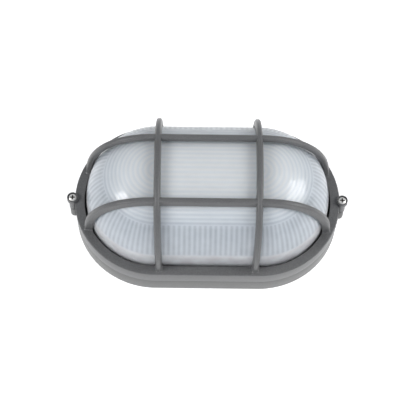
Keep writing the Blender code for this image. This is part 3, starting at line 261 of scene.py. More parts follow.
def shell(grids, name, finish, layers=None, sharp=CRISP_EDGE):
    """One mesh object from grids of points, closed round their second direction.

    A grid is (points, closes), where closes says whether its first direction closes too;
    one that doesn't has its first and last rows filled, or drawn together where they meet.
    Each layer is an attribute by name, with a value for each point of the grid.
    """
    built = bmesh.new()
    for points, closes in grids:
        rows, columns = points.shape[:2]
        mesh = bpy.data.meshes.new("grid")
        place = np.arange(rows * columns).reshape(rows, columns)
        low = place if closes else place[:-1]
        high = np.roll(place, -1, axis=0) if closes else place[1:]
        faces = np.stack((low, np.roll(low, -1, axis=1), np.roll(high, -1, axis=1), high), axis=2)
        faces = faces.reshape(-1, 4)
        mesh.vertices.add(rows * columns)
        mesh.vertices.foreach_set("co", points.astype(np.float32).ravel())
        mesh.loops.add(faces.size)
        mesh.loops.foreach_set("vertex_index", faces.astype(np.int32).ravel())
        mesh.polygons.add(len(faces))
        mesh.polygons.foreach_set("loop_start", np.arange(0, faces.size, 4, dtype=np.int32))
        for layer, values in (layers or {}).items():
            spread = np.broadcast_to(values, (rows, columns)).astype(np.float32)
            spot = mesh.attributes.new(layer, "FLOAT", "POINT")
            spot.data.foreach_set("value", spread.ravel())
        mesh.update(calc_edges=True)
        part = bmesh.new()
        part.from_mesh(mesh)
        bmesh.ops.remove_doubles(part, verts=part.verts, dist=SAME_POINT)
        bmesh.ops.dissolve_degenerate(part, edges=part.edges, dist=NO_LENGTH)
        rims = [edge for edge in part.edges if edge.is_boundary]
        if rims:
            bmesh.ops.holes_fill(part, edges=rims)
        bmesh.ops.recalc_face_normals(part, faces=part.faces)
        part.to_mesh(mesh)
        part.free()
        built.from_mesh(mesh)
        bpy.data.meshes.remove(mesh)
    made = bpy.data.meshes.new(name)
    built.to_mesh(made)
    built.free()
    made.shade_smooth()
    made.set_sharp_from_angle(angle=math.radians(sharp))
    made.materials.append(finish)
    piece = bpy.data.objects.new(name, made)
    bpy.context.scene.collection.objects.link(piece)
    return piece


def fit(piece, node):
    """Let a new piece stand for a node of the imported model."""
    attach(piece, "root")
    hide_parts(node)
    return piece


# Guard casting

def superellipse(half_span, rise, exponent, count):
    """A quarter arch from foot to crest: half_span cos^(2/n), rise sin^(2/n), evenly spaced."""
    turn = np.linspace(0, np.pi / 2, ARCH_POINTS)
    across = half_span * np.cos(turn) ** (2 / exponent)
    up = rise * np.sin(turn) ** (2 / exponent)
    run = np.concatenate(([0.0], np.cumsum(np.hypot(np.diff(across), np.diff(up)))))
    even = np.linspace(0, run[-1], count)
    return np.stack((np.interp(even, run, across), np.interp(even, run, up)), axis=1)


def outer_wall(height):
    """Radius of the drafted wall: it leans in by WALL_DRAFT for each unit below the face."""
    return END_RADIUS - (FACE - height) * WALL_DRAFT


def ring_profile():
    """The ring's section, closed: drafted skirt, flat face and the lip that clamps the glass."""
    inner = END_RADIUS - RING_FACE_WIDTH
    corners = [
        (SKIRT_INNER, SKIRT_BOTTOM - SEAM_CLOSED),
        (outer_wall(SKIRT_BOTTOM), SKIRT_BOTTOM - SEAM_CLOSED),
        (END_RADIUS, FACE),
        (inner, FACE),
        (inner, FACE - RING_LIP_DEPTH),
        (inner + RING_LIP_WALL, FACE - RING_LIP_DEPTH),
        (inner + RING_LIP_WALL, FACE - RING_PLATE),
        (SKIRT_INNER, FACE - RING_PLATE),
    ]
    soft = EDGE_RADIUS
    radii = [soft / 4, soft, soft / 2, soft / 2, soft / 2, soft / 2]
    return rounded(corners, radii)


def fillet(distance, radius):
    """How far a fillet of that radius stands out at a distance from the face it meets."""
    reach = np.clip(radius - distance, 0, radius)
    return radius - np.sqrt(radius ** 2 - reach ** 2)


def bar_section(depth):
    """A bar's section as (sideways, outward), before its underside is slanted: a narrow
    crest, then two facets and a drafted flank on each side, all with soft edges."""
    right = [(BAR_WIDTH / 2 - inset, depth / 2 - drop) for inset, drop in BAR_CORNERS]
    right.append((BAR_WIDTH / 2, -depth / 2))
    corners = right + [(-across, out) for across, out in reversed(right)]
    return rounded_loop(corners, np.full(len(corners), BAR_SOFTNESS))


def bar_grid(straight, span, rise, exponent, place_at, lean, depths, slant, along_x, meets):
    """A cage bar as a grid: stations along its arch by points round its section.

    The centre line is a straight run with a superellipse down to each foot, in a plane that
    leans outwards with height. The underside slants with the glass by `slant` over the bar's
    width. The bar swells as a fillet where it meets the ring, and its flanks where it meets
    another bar.
    """
    root = np.linspace(-FOOT_ROOT, FOOT_FILLET, BAR_FOOT_ROWS)
    foot = np.stack((np.full(BAR_FOOT_ROWS, span), root), axis=1)
    quarter = superellipse(span - straight, rise, exponent, BAR_ARCH_ROWS) + (straight, 0)
    climb = np.vstack((foot, quarter[quarter[:, 1] > FOOT_FILLET * 1.05]))
    if straight:
        run = np.linspace(straight, 0, BAR_RUN_ROWS)[1:]
        climb = np.vstack((climb, np.stack((run, np.full(len(run), rise)), axis=1)))
    path = np.vstack((climb, climb[-2::-1] * (-1, 1)))
    tangent = np.gradient(path, axis=0)
    tangent /= np.linalg.norm(tangent, axis=1)[:, None]
    outward = np.stack((tangent[:, 1], -tangent[:, 0]), axis=1)
    side = math.copysign(1, place_at)
    share = np.clip(path[:, 1] / rise, 0, 1)
    depth = depths[0] + (depths[1] - depths[0]) * share
    plane = place_at + side * lean * share
    across, section = bar_section(depths[1]).T
    swell = fillet(path[:, 1], FOOT_FILLET)[:, None]
    sideways = across + np.sign(across) * swell
    for crossing in meets:
        gap = np.abs(np.abs(path[:, 0]) - crossing) - BAR_WIDTH / 2
        near = np.where((gap > 0) & (share > 0.5), gap, CROSSING_FILLET)
        sideways = sideways + np.sign(across) * fillet(near, CROSSING_FILLET)[:, None]
    out = section + np.sign(section) * (depth[:, None] - depths[1]) / 2
    out = out + np.where(section > 0, swell, -side * slant * across / BAR_WIDTH)
    a = path[:, :1] + outward[:, :1] * out
    z = FACE + path[:, 1:] + outward[:, 1:] * out
    b = plane[:, None] + sideways
    return np.stack((a, b, z) if along_x else (b, a, z), axis=2)


def glass_rise(distance):
    """Height of the glass over the ring's face at a distance from the spine."""
    reach = (distance / GLASS_RADIUS) ** GLASS_EXPONENT
    return GLASS_RISE * (1 - reach) ** (1 / GLASS_EXPONENT)


def make_guard(finish):
    """The guard casting: ring, two cross bars, two long bars and a collar at each end."""
    grids = [(swept(ring_profile(), outline(*CASTING_STATIONS)), True)]
    cross_span = GLASS_RADIUS + CROSS_FOOT_TO_GLASS + CROSS_BAR_DEPTHS[0] / 2
    cross_rise = GLASS_RISE + CROSS_BAR_TO_GLASS + CROSS_BAR_DEPTHS[1] / 2
    reach = END_RADIUS - RING_FACE_WIDTH - LONG_FOOT_OVERHANG
    long_span = HALF_SPINE + math.sqrt(reach ** 2 - LONG_BAR_Y ** 2) + LONG_BAR_DEPTHS[0] / 2
    long_rise = glass_rise(LONG_BAR_Y + LONG_BAR_LEAN) + LONG_BAR_TO_GLASS
    long_rise += LONG_BAR_DEPTHS[1] / 2
    meets = (CROSS_BAR_X + CROSS_BAR_LEAN,)
    for side in (-1, 1):
        cross = bar_grid(0.0, cross_span, cross_rise, CROSS_BAR_EXPONENT, side * CROSS_BAR_X,
                         CROSS_BAR_LEAN, CROSS_BAR_DEPTHS, 0.0, False, ())
        along = bar_grid(HALF_SPINE, long_span, long_rise, LONG_BAR_EXPONENT, side * LONG_BAR_Y,
                         LONG_BAR_LEAN, LONG_BAR_DEPTHS, LONG_BAR_SLANT, True, meets)
        lug = turned(lug_profile(), LUG_SECTORS, (side * LUG_X, 0, 0))
        grids += [(cross, False), (along, False), (lug, True)]
    return shell(grids, "guard_casting", finish)


def lug_profile():
    """A collar round a cover screw on a thinner post, with the head's pocket and its hole."""
    top = FACE + LUG_RISE
    seat = top - HEAD_HEIGHT - HEAD_CLEARANCE
    corners = [
        (LUG_HOLE, SKIRT_BOTTOM),
        (LUG_POST_RADIUS, SKIRT_BOTTOM),
        (LUG_POST_RADIUS, top - LUG_DEPTH),
        (LUG_RADIUS, top - LUG_DEPTH + (LUG_RADIUS - LUG_POST_RADIUS) / 2),
        (LUG_RADIUS, top),
        (LUG_POCKET, top),
        (LUG_POCKET, seat),
        (LUG_HOLE, seat),
    ]
    return rounded(corners, [0.0003, 0.0003, 0.0005, 0.0006, 0.0003, 0.0003])


# Base casting

def make_base(finish):
    """The base casting: a dish with a hollow wall, its grommet hole and fixing slots, and a
    tapered boss under each lug."""
    channel = RIM_TOP - RIM_PLATE - RIM_STEP
    rim_inner = GASKET_RADIUS - RIM_WIDTH
    shoulder = SKIRT_BOTTOM - SHOULDER_GAP
    wall = outer_wall(0) - BASE_WALL
    corners = [
        (0.0, 0.0),
        (rim_inner + BASE_WALL, 0.0),
        (rim_inner + BASE_WALL, channel),
        (wall, channel),
        (wall, 0.0),
        (outer_wall(0), 0.0),
        (outer_wall(shoulder), shoulder),
        (GASKET_RADIUS, shoulder),
        (GASKET_RADIUS, RIM_TOP),
        (rim_inner, RIM_TOP),
        (rim_inner, BASE_FLOOR),
        (0.0, BASE_FLOOR),
    ]
    radii = [0.0003, 0.0006, 0.0006, 0.0003, 0.0006, 0.0002, 0.0003, 0.0004, 0.0004, 0.0015]
    dish = swept(rounded(corners, radii, 3), outline(*CASTING_STATIONS))
    base = shell([(dish, False)], "base_casting", finish)
    bores = (("grommet_cutter", GROMMET_HOLE, CUT_HIGH), ("recess_cutter", *GROMMET_RECESS))
    for name, radius, top in bores:
        plug = [(0.0, CUT_LOW), (radius, CUT_LOW), (radius, top), (0.0, top)]
        cut(base, shell([(turned(plug, BOSS_SECTORS, (GROMMET_X, 0, 0)), False)], name, finish))
    corners = [(x, y) for x in (-FIXING_X, FIXING_X) for y in (-FIXING_Y, FIXING_Y)]
    cut(base, shell([(slot_grid(x, y), False) for x, y in corners], "slot_cutters", finish))
    end = BOSS_RADIUS - BOSS_TAPER
    boss = [(0.0, BOSS_END / 2), (end - BOSS_END, BOSS_END / 2), (end, BOSS_END * 2)]
    boss += [(BOSS_RADIUS, shoulder), (0.0, shoulder)]
    for side, name in ((-1, "base_boss_left"), (1, "base_boss_right")):
        centre = (side * (LUG_X - BOSS_INSET), 0, 0)
        post = turned(rounded(boss, [0.0006, 0.0012, 0.0003]), BOSS_SECTORS, centre)
        made = shell([(post, False)], name, finish)
        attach(made, "root")
    return base


def slot_grid(x, y):
    """A cutter for a fixing slot: a small stadium along X, from below the back to above it."""
    length, width = FIXING_SLOT
    spine, out_x, out_y = outline(*SLOT_STATIONS)
    around = np.stack((x + spine / HALF_SPINE * (length - width) / 2 + out_x * width / 2,
                       y + out_y * width / 2), axis=1)
    low = np.column_stack((around, np.full(len(around), -BASE_FLOOR)))
    return np.stack((low, low + (0, 0, 3 * BASE_FLOOR)))


def cut(target, cutter):
    """Cut one mesh object from another with a Boolean, and apply it."""
    change = target.modifiers.new("cut", "BOOLEAN")
    change.operation = "DIFFERENCE"
    change.solver = "EXACT"
    change.object = cutter
    bpy.context.view_layer.update()
    graph = bpy.context.evaluated_depsgraph_get()
    result = bpy.data.meshes.new_from_object(target.evaluated_get(graph))
    target.modifiers.clear()
    old = target.data
    target.data = result
    bpy.data.meshes.remove(old)
    bpy.data.objects.remove(cutter)
    result.shade_smooth()
    result.set_sharp_from_angle(angle=math.radians(CRISP_EDGE))


# Glass and gasket

def rib_turns(radius):
    """Number of ribs from the middle out to a radius: RIB_COUNT ((1 - c) x + c x^3), where x is
    the share of the crown's radius, so that the ribs crowd a little towards its edge."""
    share = radius / CROWN
    return RIB_COUNT * ((1 - RIB_CROWDING) * share + RIB_CROWDING * share ** 3)


def make_glass(finish):
    """The pressed glass: one closed surface, ribbed inside its crown and fluted inside its sides.

    Both faces are superellipses: up = rise (1 - (r / reach)^n)^(1/n). The inner one is moved
    into the wall by a cosine of the radius under the crown, and by a cosine of the station
    round the stadium down the sides, which ends at FLUTE_END_HEIGHT over the ring's face.
    """
    per_end = FLUTE_SAMPLES * round(math.pi * GLASS_INNER / FLUTE_PITCH)
    per_side = FLUTE_SAMPLES * round(2 * HALF_SPINE / FLUTE_PITCH)
    stations = outline(per_end, per_side)
    inner_rise = GLASS_RISE - GLASS_WALL
    outer = superellipse(GLASS_RADIUS, GLASS_RISE, GLASS_EXPONENT, GLASS_OUTER_ROWS)
    outer = outer + (0, FACE)
    outer[-1, 0] = 0
    flange_top = FACE - FLANGE_DROP
    flange_low = flange_top - FLANGE_THICKNESS
    edge = [(GLASS_RADIUS, FACE), (GLASS_RADIUS, flange_top), (FLANGE_RADIUS, flange_top)]
    edge += [(FLANGE_RADIUS, flange_low), (GLASS_INNER, flange_low), (GLASS_INNER, FACE)]
    foot = rounded(edge, [0.0008, 0.0006, 0.0006, 0.0004])
    inner = superellipse(GLASS_INNER, inner_rise, GLASS_EXPONENT, GLASS_INNER_ROWS)
    inner = inner[inner[:, 0] > CROWN + RIB_PITCH / 4]
    ribs = np.linspace(CROWN, 0, RIB_SAMPLES * RIB_COUNT + 1)
    reach = (ribs / GLASS_INNER) ** GLASS_EXPONENT
    crown = np.stack((ribs, inner_rise * (1 - reach) ** (1 / GLASS_EXPONENT)), axis=1)
    inside = np.vstack((inner, crown)) + (0, FACE)
    profile = np.vstack((outer[::-1], foot[1:-1], inside))
    grid = np.broadcast_to(profile[:, None], (len(profile), len(stations[0]), 2)).copy()
    first = len(profile) - len(inside)
    up = inside[:, 1] - FACE
    lean = np.arctan2((up / inner_rise) ** (GLASS_EXPONENT - 1),
                      (inside[:, 0] / GLASS_INNER) ** (GLASS_EXPONENT - 1))
    wave = 0.5 + 0.5 * np.cos(math.tau * np.arange(len(stations[0])) / FLUTE_SAMPLES)
    sides = (inside[:, 0] > CROWN) * np.clip((up - FLUTE_END_HEIGHT) / FLUTE_RUN_OUT, 0, 1)
    rib = (inside[:, 0] < CROWN + 1e-6) * (0.5 - 0.5 * np.cos(math.tau * rib_turns(inside[:, 0])))
    depth = sides[:, None] * wave * FLUTE_DEPTH + rib[:, None] * RIB_DEPTH
    grid[first:, :, 0] -= depth * np.cos(lean)[:, None] * np.sign(inside[:, :1])
    grid[first:, :, 1] -= depth * np.sin(lean)[:, None]
    layers = {
        "rib_turns": rib_turns(profile[:, :1]),
        "flute_wave": wave[None, :],
        "rise": np.clip((profile[:, 1:] - FACE) / GLASS_RISE, -1, 1),
    }
    return shell([(swept(grid, stations), False)], "glass_dome", finish, layers, 60)


def make_gasket(finish):
    """The gasket: a U section wrapped round the glass's flange."""
    inner = GLASS_RADIUS + GASKET_CLEARANCE
    edge = FLANGE_RADIUS + GASKET_CLEARANCE
    top, low = gasket_high.z, gasket_low.z
    under, over = low + GASKET_LEG, top - GASKET_LEG
    corners = [(edge, under), (inner, under), (inner, low), (GASKET_RADIUS, low)]
    corners += [(GASKET_RADIUS, top), (inner, top), (inner, over), (edge, over)]
    ring = swept(rounded(corners, np.full(6, 0.0004), 3), outline(*CASTING_STATIONS))
    return shell([(ring, True)], "gasket_ring", finish)


# Cover screws

def make_screw(name, centre_x, finish):
    """A pan-head screw: its head is a rounded cap with a cross recess pressed into it.

    With s as the share of the head's radius, the cap falls by CAP_ROUND_FALL s^2 and by
    CAP_EDGE_FALL s^6. The recess is a smooth mask of two crossed bars, deepest in the middle.
    """
    top, low = screw_high.z, screw_low.z
    seat = top - HEAD_HEIGHT
    angle = math.tau * np.arange(SCREW_SECTORS) / SCREW_SECTORS
    radius = np.concatenate((np.linspace(0, 0.80, 24), np.linspace(0.84, 1.0, 7))) * HEAD_RADIUS
    radius = radius[:, None]
    share = radius / HEAD_RADIUS
    x = radius * np.cos(angle)
    y = radius * np.sin(angle)
    cap = top - CAP_EDGE_FALL * share ** 6 - CAP_ROUND_FALL * share ** 2
    arm = HEAD_RADIUS * RECESS_ARM - HEAD_RADIUS * RECESS_ARM_LOST * share
    narrow = np.minimum(np.abs(x), np.abs(y))
    inside = np.clip((arm - narrow) / RECESS_SLOPE, 0, 1)
    inside = inside * np.clip((RECESS_REACH - share) / RECESS_END_FADE, 0, 1)
    recess = inside * (RECESS_DEPTH - RECESS_DEPTH_LOST * share / RECESS_REACH)
    head = np.stack((x, y, cap - recess), axis=2) + (centre_x, 0, 0)
    under = [(HEAD_RADIUS, seat + 0.0003), (HEAD_RADIUS - 0.0003, seat), (SHANK_RADIUS, seat)]
    under += [(SHANK_RADIUS, low + 0.001), (SHANK_RADIUS * 0.6, low), (0.0, low)]
    below = turned(under, SCREW_SECTORS, (centre_x, 0, 0))
    # The recess mask is kept as an attribute, which paints shade into the recess's colour.
    depth = np.vstack((inside, np.zeros((len(under), SCREW_SECTORS))))
    return shell([(np.vstack((head, below)), False)], name, finish, {"recess": depth}, 32)


# Materials

def linear(code):
    """An sRGB hex colour as linear red, green and blue, and a full alpha."""
    share = np.array([int(code[k:k + 2], 16) for k in (1, 3, 5)]) / 255
    value = np.where(share <= 0.04045, share / 12.92, ((share + 0.055) / 1.055) ** 2.4)
    return (*value.tolist(), 1.0)


def per_mm(size):
    """The texture scale that gives features of that size in millimetres."""
    return 1000 / size


def add(tree, kind, settings=None, sockets=None):
    """Add a node with its settings, and set or link its input sockets."""
    made = tree.nodes.new(kind)
    for name, value in (settings or {}).items():
        setattr(made, name, value)
    for key, value in (sockets or {}).items():
        if isinstance(value, bpy.types.NodeSocket):
            tree.links.new(value, made.inputs[key])
        else:
            made.inputs[key].default_value = value
    return made


def new_material(name, sockets):
    """A Principled material with constant sockets, and its tree, shader and coordinates."""
    made = bpy.data.materials.new(name)
    made.use_nodes = True
    tree = made.node_tree
    shader = tree.nodes["Principled BSDF"]
    for key, value in sockets.items():
        shader.inputs[key].default_value = value
    place = add(tree, "ShaderNodeTexCoord").outputs["Object"]
    return made, tree, shader, place


def noise(tree, place, size, detail=2.0, roughness=0.5):
    """A noise texture whose features have that size in millimetres."""
    sockets = {"Vector": place, "Scale": per_mm(size), "Detail": detail, "Roughness": roughness}
    return add(tree, "ShaderNodeTexNoise", None, sockets).outputs["Fac"]


def ramp(tree, value, low, high, out_low=0.0, out_high=1.0):
    """A value moved from one range to another and held inside it."""
    sockets = {"Value": value, "From Min": low, "From Max": high}
    sockets.update({"To Min": out_low, "To Max": out_high})
    return add(tree, "ShaderNodeMapRange", None, sockets).outputs["Result"]


def blend(tree, factor, first, second):
    """Two numbers mixed by a factor."""
    mixed = add(tree, "ShaderNodeMix", {"data_type": "FLOAT"}, {0: factor, 2: first, 3: second})
    return mixed.outputs[0]


def blend_colors(tree, factor, first, second):
    """Two colours mixed by a factor."""
    mixed = add(tree, "ShaderNodeMix", {"data_type": "RGBA"}, {0: factor, 6: first, 7: second})
    return mixed.outputs[2]


def bump(tree, height, depth_mm):
    """A bump whose full height is that depth in millimetres."""
    sockets = {"Height": height, "Distance": depth_mm / 1000}
    return add(tree, "ShaderNodeBump", None, sockets).outputs["Normal"]


def attribute(tree, name):
    """A piece's own attribute as a number."""
    return add(tree, "ShaderNodeAttribute", {"attribute_name": name}).outputs["Fac"]


def arithmetic(tree, operation, *values):
    """Numbers put together by one operation."""
    return add(tree, "ShaderNodeMath", {"operation": operation}, dict(enumerate(values))).outputs[0]


def enamel(name, dark, light, roughness):
    """Grey stove enamel sprayed on a sand casting: a satin film with a fine orange peel,
    and a fleck that comes from the casting's own grain under it."""
    made, tree, shader, place = new_material(name, {"Roughness": roughness, "IOR": 1.5})
    fleck = ramp(tree, noise(tree, place, 0.9, 3.0, 0.65), 0.38, 0.66)
    cloud = ramp(tree, noise(tree, place, 14.0), 0.3, 0.7)
    share = ramp(tree, arithmetic(tree, "MULTIPLY_ADD", cloud, 0.3, fleck), 0.0, 1.3)
    color = blend_colors(tree, share, linear(dark), linear(light))
    satin = ramp(tree, share, 0, 1, roughness - 0.05, roughness + 0.06)
    tree.links.new(color, shader.inputs["Base Color"])
    tree.links.new(satin, shader.inputs["Roughness"])
    peel = noise(tree, place, 1.1, 2.0, 0.6)
    tree.links.new(bump(tree, peel, 0.10), shader.inputs["Normal"])
    return made


def ribbed_glass(name):
    """Pressed soda-lime glass, etched inside, so it scatters what passes, under a smooth
    fire-polished outer face, which is the coat here. The ribs and flutes inside show as soft bands
    of a bump and of painted light and shade in the colour, paler on their crests and darker in
    their grooves. The colour has painted light on the crown and painted shade down the sides, and
    is clouded at the plain foot."""
    sockets = {
        "Roughness": 0.42,
        "IOR": 1.52,
        "Subsurface Weight": 0.85,
        "Subsurface Radius": (1.0, 1.0, 1.0),
        "Subsurface Scale": 0.022,
        "Coat Weight": 0.5,
        "Coat Roughness": 0.12,
        "Coat IOR": 1.52,
    }
    made, tree, shader, place = new_material(name, sockets)
    turns = attribute(tree, "rib_turns")
    rise = attribute(tree, "rise")
    wave = arithmetic(tree, "COSINE", arithmetic(tree, "MULTIPLY", turns, math.tau))
    rib = ramp(tree, wave, -1, 1)
    crown = ramp(tree, turns, RIB_COUNT - 0.1, RIB_COUNT + 0.1, 1, 0)
    flute_end = FLUTE_END_HEIGHT / GLASS_RISE
    fluted = ramp(tree, rise, flute_end - 0.03, flute_end + 0.03)
    sides = blend(tree, fluted, 0.9, attribute(tree, "flute_wave"))
    swap = blend(tree, crown, sides, rib)
    # Painted light and shade: the colour is paler on the crown and darker down the sides, following
    # the glass's rise.
    low = ramp(tree, rise, 0.72, 1.0, 1.0, 0.0)
    # Painted light and shade of the ribs and flutes: a darker colour in the grooves, a paler one on
    # the crests.
    groove = blend_colors(tree, low, linear("#e6f2fc"), linear("#9aa1a9"))
    crest = blend_colors(tree, low, linear("#f0f8fe"), linear("#b7bec5"))
    color = blend_colors(tree, swap, groove, crest)
    patches = ramp(tree, noise(tree, place, 13.0), 0.35, 0.65)
    foot = blend_colors(tree, patches, linear("#d4d7d9"), linear("#c4c2c5"))
    color = blend_colors(tree, fluted, foot, color)
    mottle = ramp(tree, noise(tree, place, 9.0), 0.3, 0.7, 0.0, 0.15)
    color = blend_colors(tree, mottle, color, linear("#dde4ea"))
    tree.links.new(color, shader.inputs["Base Color"])
    tree.links.new(bump(tree, swap, 0.12), shader.inputs["Normal"])
    return made


def rubber(name, dark, light):
    """Moulded EPDM rubber: matt black with a faint bloom."""
    made, tree, shader, place = new_material(name, {"Roughness": 0.75, "IOR": 1.52})
    bloom = ramp(tree, noise(tree, place, 2.5, 3.0, 0.6), 0.35, 0.7)
    color = blend_colors(tree, bloom, linear(dark), linear(light))
    tree.links.new(color, shader.inputs["Base Color"])
    tree.links.new(bump(tree, bloom, 0.05), shader.inputs["Normal"])
    return made


def plated(name, dark, light, roughness):
    """Zinc or nickel plate on pressed or turned steel: bright, with faint drawing lines."""
    made, tree, shader, place = new_material(name, {"Metallic": 1.0, "Roughness": roughness})
    lines = noise(tree, place, 0.7, 3.0, 0.7)
    color = blend_colors(tree, lines, linear(dark), linear(light))
    drawn = ramp(tree, lines, 0.3, 0.7, roughness - 0.06, roughness + 0.08)
    tree.links.new(color, shader.inputs["Base Color"])
    tree.links.new(drawn, shader.inputs["Roughness"])
    tree.links.new(bump(tree, lines, 0.02), shader.inputs["Normal"])
    return made


def with_painted_recess_shade(made, color):
    """The same plate with painted shade in a driven recess: the recess attribute darkens its
    colour.
    """
    tree = made.node_tree
    base = tree.nodes["Principled BSDF"].inputs["Base Color"]
    plate = base.links[0].from_socket
    # Painted shade: inside the cross recess the plate's colour darkens towards a dark grey.
    tree.links.new(blend_colors(tree, attribute(tree, "recess"), plate, linear(color)), base)
    return made


def moulded(name, dark, light, roughness, grain=1.5):
    """A moulded or glazed body: an even colour with a slight cloud and a soft surface wave."""
    made, tree, shader, place = new_material(name, {"Roughness": roughness})
    cloud = ramp(tree, noise(tree, place, grain), 0.3, 0.7)
    color = blend_colors(tree, cloud, linear(dark), linear(light))
    sheen = ramp(tree, cloud, 0, 1, roughness - 0.04, roughness + 0.04)
    tree.links.new(color, shader.inputs["Base Color"])
    tree.links.new(sheen, shader.inputs["Roughness"])
    tree.links.new(bump(tree, cloud, 0.02), shader.inputs["Normal"])
    return made


def make_finishes():
    """Every finish by the record's slot name."""
    nickel = plated("nickel_plated_steel_screw", "#bdbbb6", "#d8d6d1", 0.38)
    return {
        "guard_enamel": enamel("stove_enamel_on_guard_casting", "#515151", "#656565", 0.34),
        "base_enamel": enamel("stove_enamel_on_base_casting", "#515150", "#656563", 0.34),
        "ribbed_glass": ribbed_glass("pressed_soda_lime_glass"),
        "gasket_rubber": rubber("moulded_epdm_gasket", "#0e0f10", "#1b1c1e"),
        "grommet_rubber": rubber("moulded_epdm_grommet", "#101112", "#1f2022"),
        # The cover screws' plate gets painted shade in its cross recess.
        "cover_screw_steel": with_painted_recess_shade(nickel, "#3c3935"),
        "inner_screw_steel": plated("zinc_plated_steel_screw", "#b9b7b0", "#d5d3cc", 0.32),
        "bracket_steel": plated("zinc_plated_steel_strip", "#a9aaa8", "#c6c7c4", 0.40),
        "shell_brass": plated("drawn_brass", "#b9924a", "#d8b468", 0.28),
        "contact_bronze": plated("rolled_phosphor_bronze", "#a8743f", "#c8935a", 0.34),
        "tray_enamel": moulded("white_enamel_on_pressed_steel", "#e2e2de", "#f0f0ec", 0.30, 8.0),
        "holder_porcelain": moulded("glazed_porcelain", "#ece9e0", "#f6f4ee", 0.14, 5.0),
        "lamp_opal": moulded("blown_opal_glass", "#eceae4", "#f7f6f2", 0.22, 12.0),
        "terminal_nylon": moulded("moulded_nylon", "#dad7ca", "#e8e6dc", 0.48, 3.0),
        "lead_brown": moulded("brown_pvc_insulation", "#57321f", "#6b4029", 0.45),
        "lead_blue": moulded("blue_pvc_insulation", "#2257a0", "#2f68b4", 0.45),
        "lead_green_yellow": moulded("green_yellow_pvc_insulation", "#3f8a3a", "#d9c93a", 0.45,
                                     6.0),
    }


# Stage, light and camera

def make_floor(finish):
    """A plain pale floor, a square grid of a few metres."""
    half = 4.0
    mesh = bpy.data.meshes.new("floor")
    corners = [(-half, -half, 0), (half, -half, 0), (half, half, 0), (-half, half, 0)]
    mesh.from_pydata(corners, [], [(0, 1, 2, 3)])
    mesh.materials.append(finish)
    floor = bpy.data.objects.new("floor", mesh)
    bpy.context.scene.collection.objects.link(floor)


def seen_directly(tree):
    """1 where camera, metal or glass sees a surface, 0 where the surface only gives light."""
    rays = add(tree, "ShaderNodeLightPath").outputs
    seen = arithmetic(tree, "MAXIMUM", rays["Is Camera Ray"], rays["Is Glossy Ray"])
    return arithmetic(tree, "MAXIMUM", seen, rays["Is Transmission Ray"])


def floor_paper():
    """Matt white paper. Where the camera, metal or glass sees it, part of its brightness is
    its own, so that it reads as white and still takes the object's shadow."""
    made, tree, shader, place = new_material("white_seamless_paper", {"Roughness": 0.9})
    grain = ramp(tree, noise(tree, place, 3.0), 0.3, 0.7)
    color = blend_colors(tree, grain, linear("#f4f4f4"), linear("#f7f7f7"))
    tree.links.new(color, shader.inputs["Base Color"])
    strength = blend(tree, seen_directly(tree), 0.0, 0.55)
    glow = add(tree, "ShaderNodeEmission", None, {"Color": (1, 1, 1, 1), "Strength": strength})
    both = add(tree, "ShaderNodeAddShader", None, {0: shader.outputs[0], 1: glow.outputs[0]})
    tree.links.new(both.outputs[0], tree.nodes["Material Output"].inputs["Surface"])
    return made


def softbox(name, place, aim, size, power):
    """A rectangular soft light at a place, turned to a point."""
    lamp = bpy.data.lights.new(name, "AREA")
    lamp.shape = "RECTANGLE"
    lamp.size, lamp.size_y = size
    lamp.energy = power
    made = bpy.data.objects.new(name, lamp)
    made.location = place
    made.rotation_mode = "QUATERNION"
    made.rotation_quaternion = (Vector(aim) - Vector(place)).to_track_quat("-Z", "Y")
    bpy.context.scene.collection.objects.link(made)


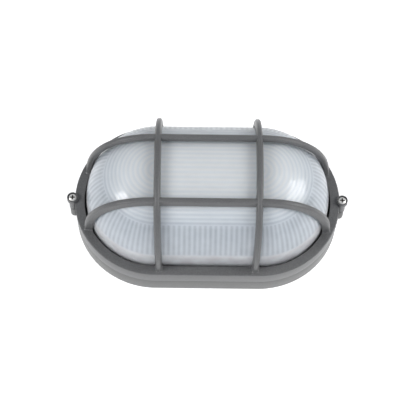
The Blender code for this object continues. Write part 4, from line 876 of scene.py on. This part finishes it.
def make_light():
    """Plain studio light: a broad front box, one at each side, and a pale room that is
    brightest low down in front. Seen directly the room is white."""
    aim = (0, 0, 0.03)
    softbox("front_box", (0.0, -1.7, 0.3), aim, (2.0, 0.6), 2)
    softbox("left_box", (-1.2, -0.35, 1.1), aim, (0.6, 0.6), 14)
    softbox("right_box", (1.2, 0.05, 1.0), aim, (0.8, 0.8), 15)
    world = bpy.data.worlds.new("pale_room")
    world.use_nodes = True
    back = world.node_tree.nodes["Background"]
    back.inputs["Color"].default_value = linear("#eff3fa")
    tree = world.node_tree
    direction = add(tree, "ShaderNodeTexCoord").outputs["Generated"]
    toward = add(tree, "ShaderNodeSeparateXYZ", None, {0: direction})
    height = ramp(tree, toward.outputs["Z"], 0.1, 0.9, 1.15, 0.40)
    rear = ramp(tree, toward.outputs["Y"], -0.5, 0.3, 1.0, 0.15)
    strength = blend(tree, seen_directly(tree), arithmetic(tree, "MULTIPLY", height, rear), 1.0)
    tree.links.new(strength, back.inputs["Strength"])
    bpy.context.scene.world = world


def make_camera():
    """The photograph's camera: an orbit about the middle of the ring's face, then a roll."""
    elevation, azimuth, roll = map(math.radians, (VIEW_ELEVATION, VIEW_AZIMUTH, VIEW_ROLL))
    back = Vector((math.sin(azimuth) * math.cos(elevation),
                   -math.cos(azimuth) * math.cos(elevation), math.sin(elevation)))
    right = Vector((math.cos(azimuth), math.sin(azimuth), 0))
    up = back.cross(right)
    rolled = right * math.cos(roll) + up * math.sin(roll)
    upward = -right * math.sin(roll) + up * math.cos(roll)
    lens = bpy.data.cameras.new("camera")
    lens.sensor_width = SENSOR
    lens.lens = FOCAL_SHARE * SENSOR
    lens.shift_x, lens.shift_y = CENTRE_SHIFT
    lens.clip_start = 0.01
    lens.clip_end = 50
    camera = bpy.data.objects.new("camera", lens)
    turn = Matrix((rolled, upward, back)).transposed().to_4x4()
    camera.matrix_world = Matrix.Translation(Vector((0, 0, FACE)) + back * VIEW_DISTANCE) @ turn
    bpy.context.scene.collection.objects.link(camera)
    bpy.context.scene.camera = camera


def main():
    """Build every piece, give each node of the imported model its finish, and set the stage."""
    bpy.context.scene.view_settings.view_transform = "Standard"
    finishes = make_finishes()
    fit(make_guard(finishes["guard_enamel"]), "guard_frame")
    fit(make_base(finishes["base_enamel"]), "base_housing")
    fit(make_glass(finishes["ribbed_glass"]), "glass_diffuser")
    fit(make_gasket(finishes["gasket_rubber"]), "glass_gasket")
    steel = finishes["cover_screw_steel"]
    for side, end in ((-1, "left"), (1, "right")):
        screw = make_screw(f"cover_screw_{end}_turned", side * LUG_X, steel)
        fit(screw, f"cover_screw_{end}")
    slots = {part["node"]: part["material_slot"] for part in frame["record"]["subparts"]}
    for name, node in frame["nodes"].items():
        node.data.materials.clear()
        node.data.materials.append(finishes[slots[name]])
    make_floor(floor_paper())
    make_light()
    make_camera()


main()
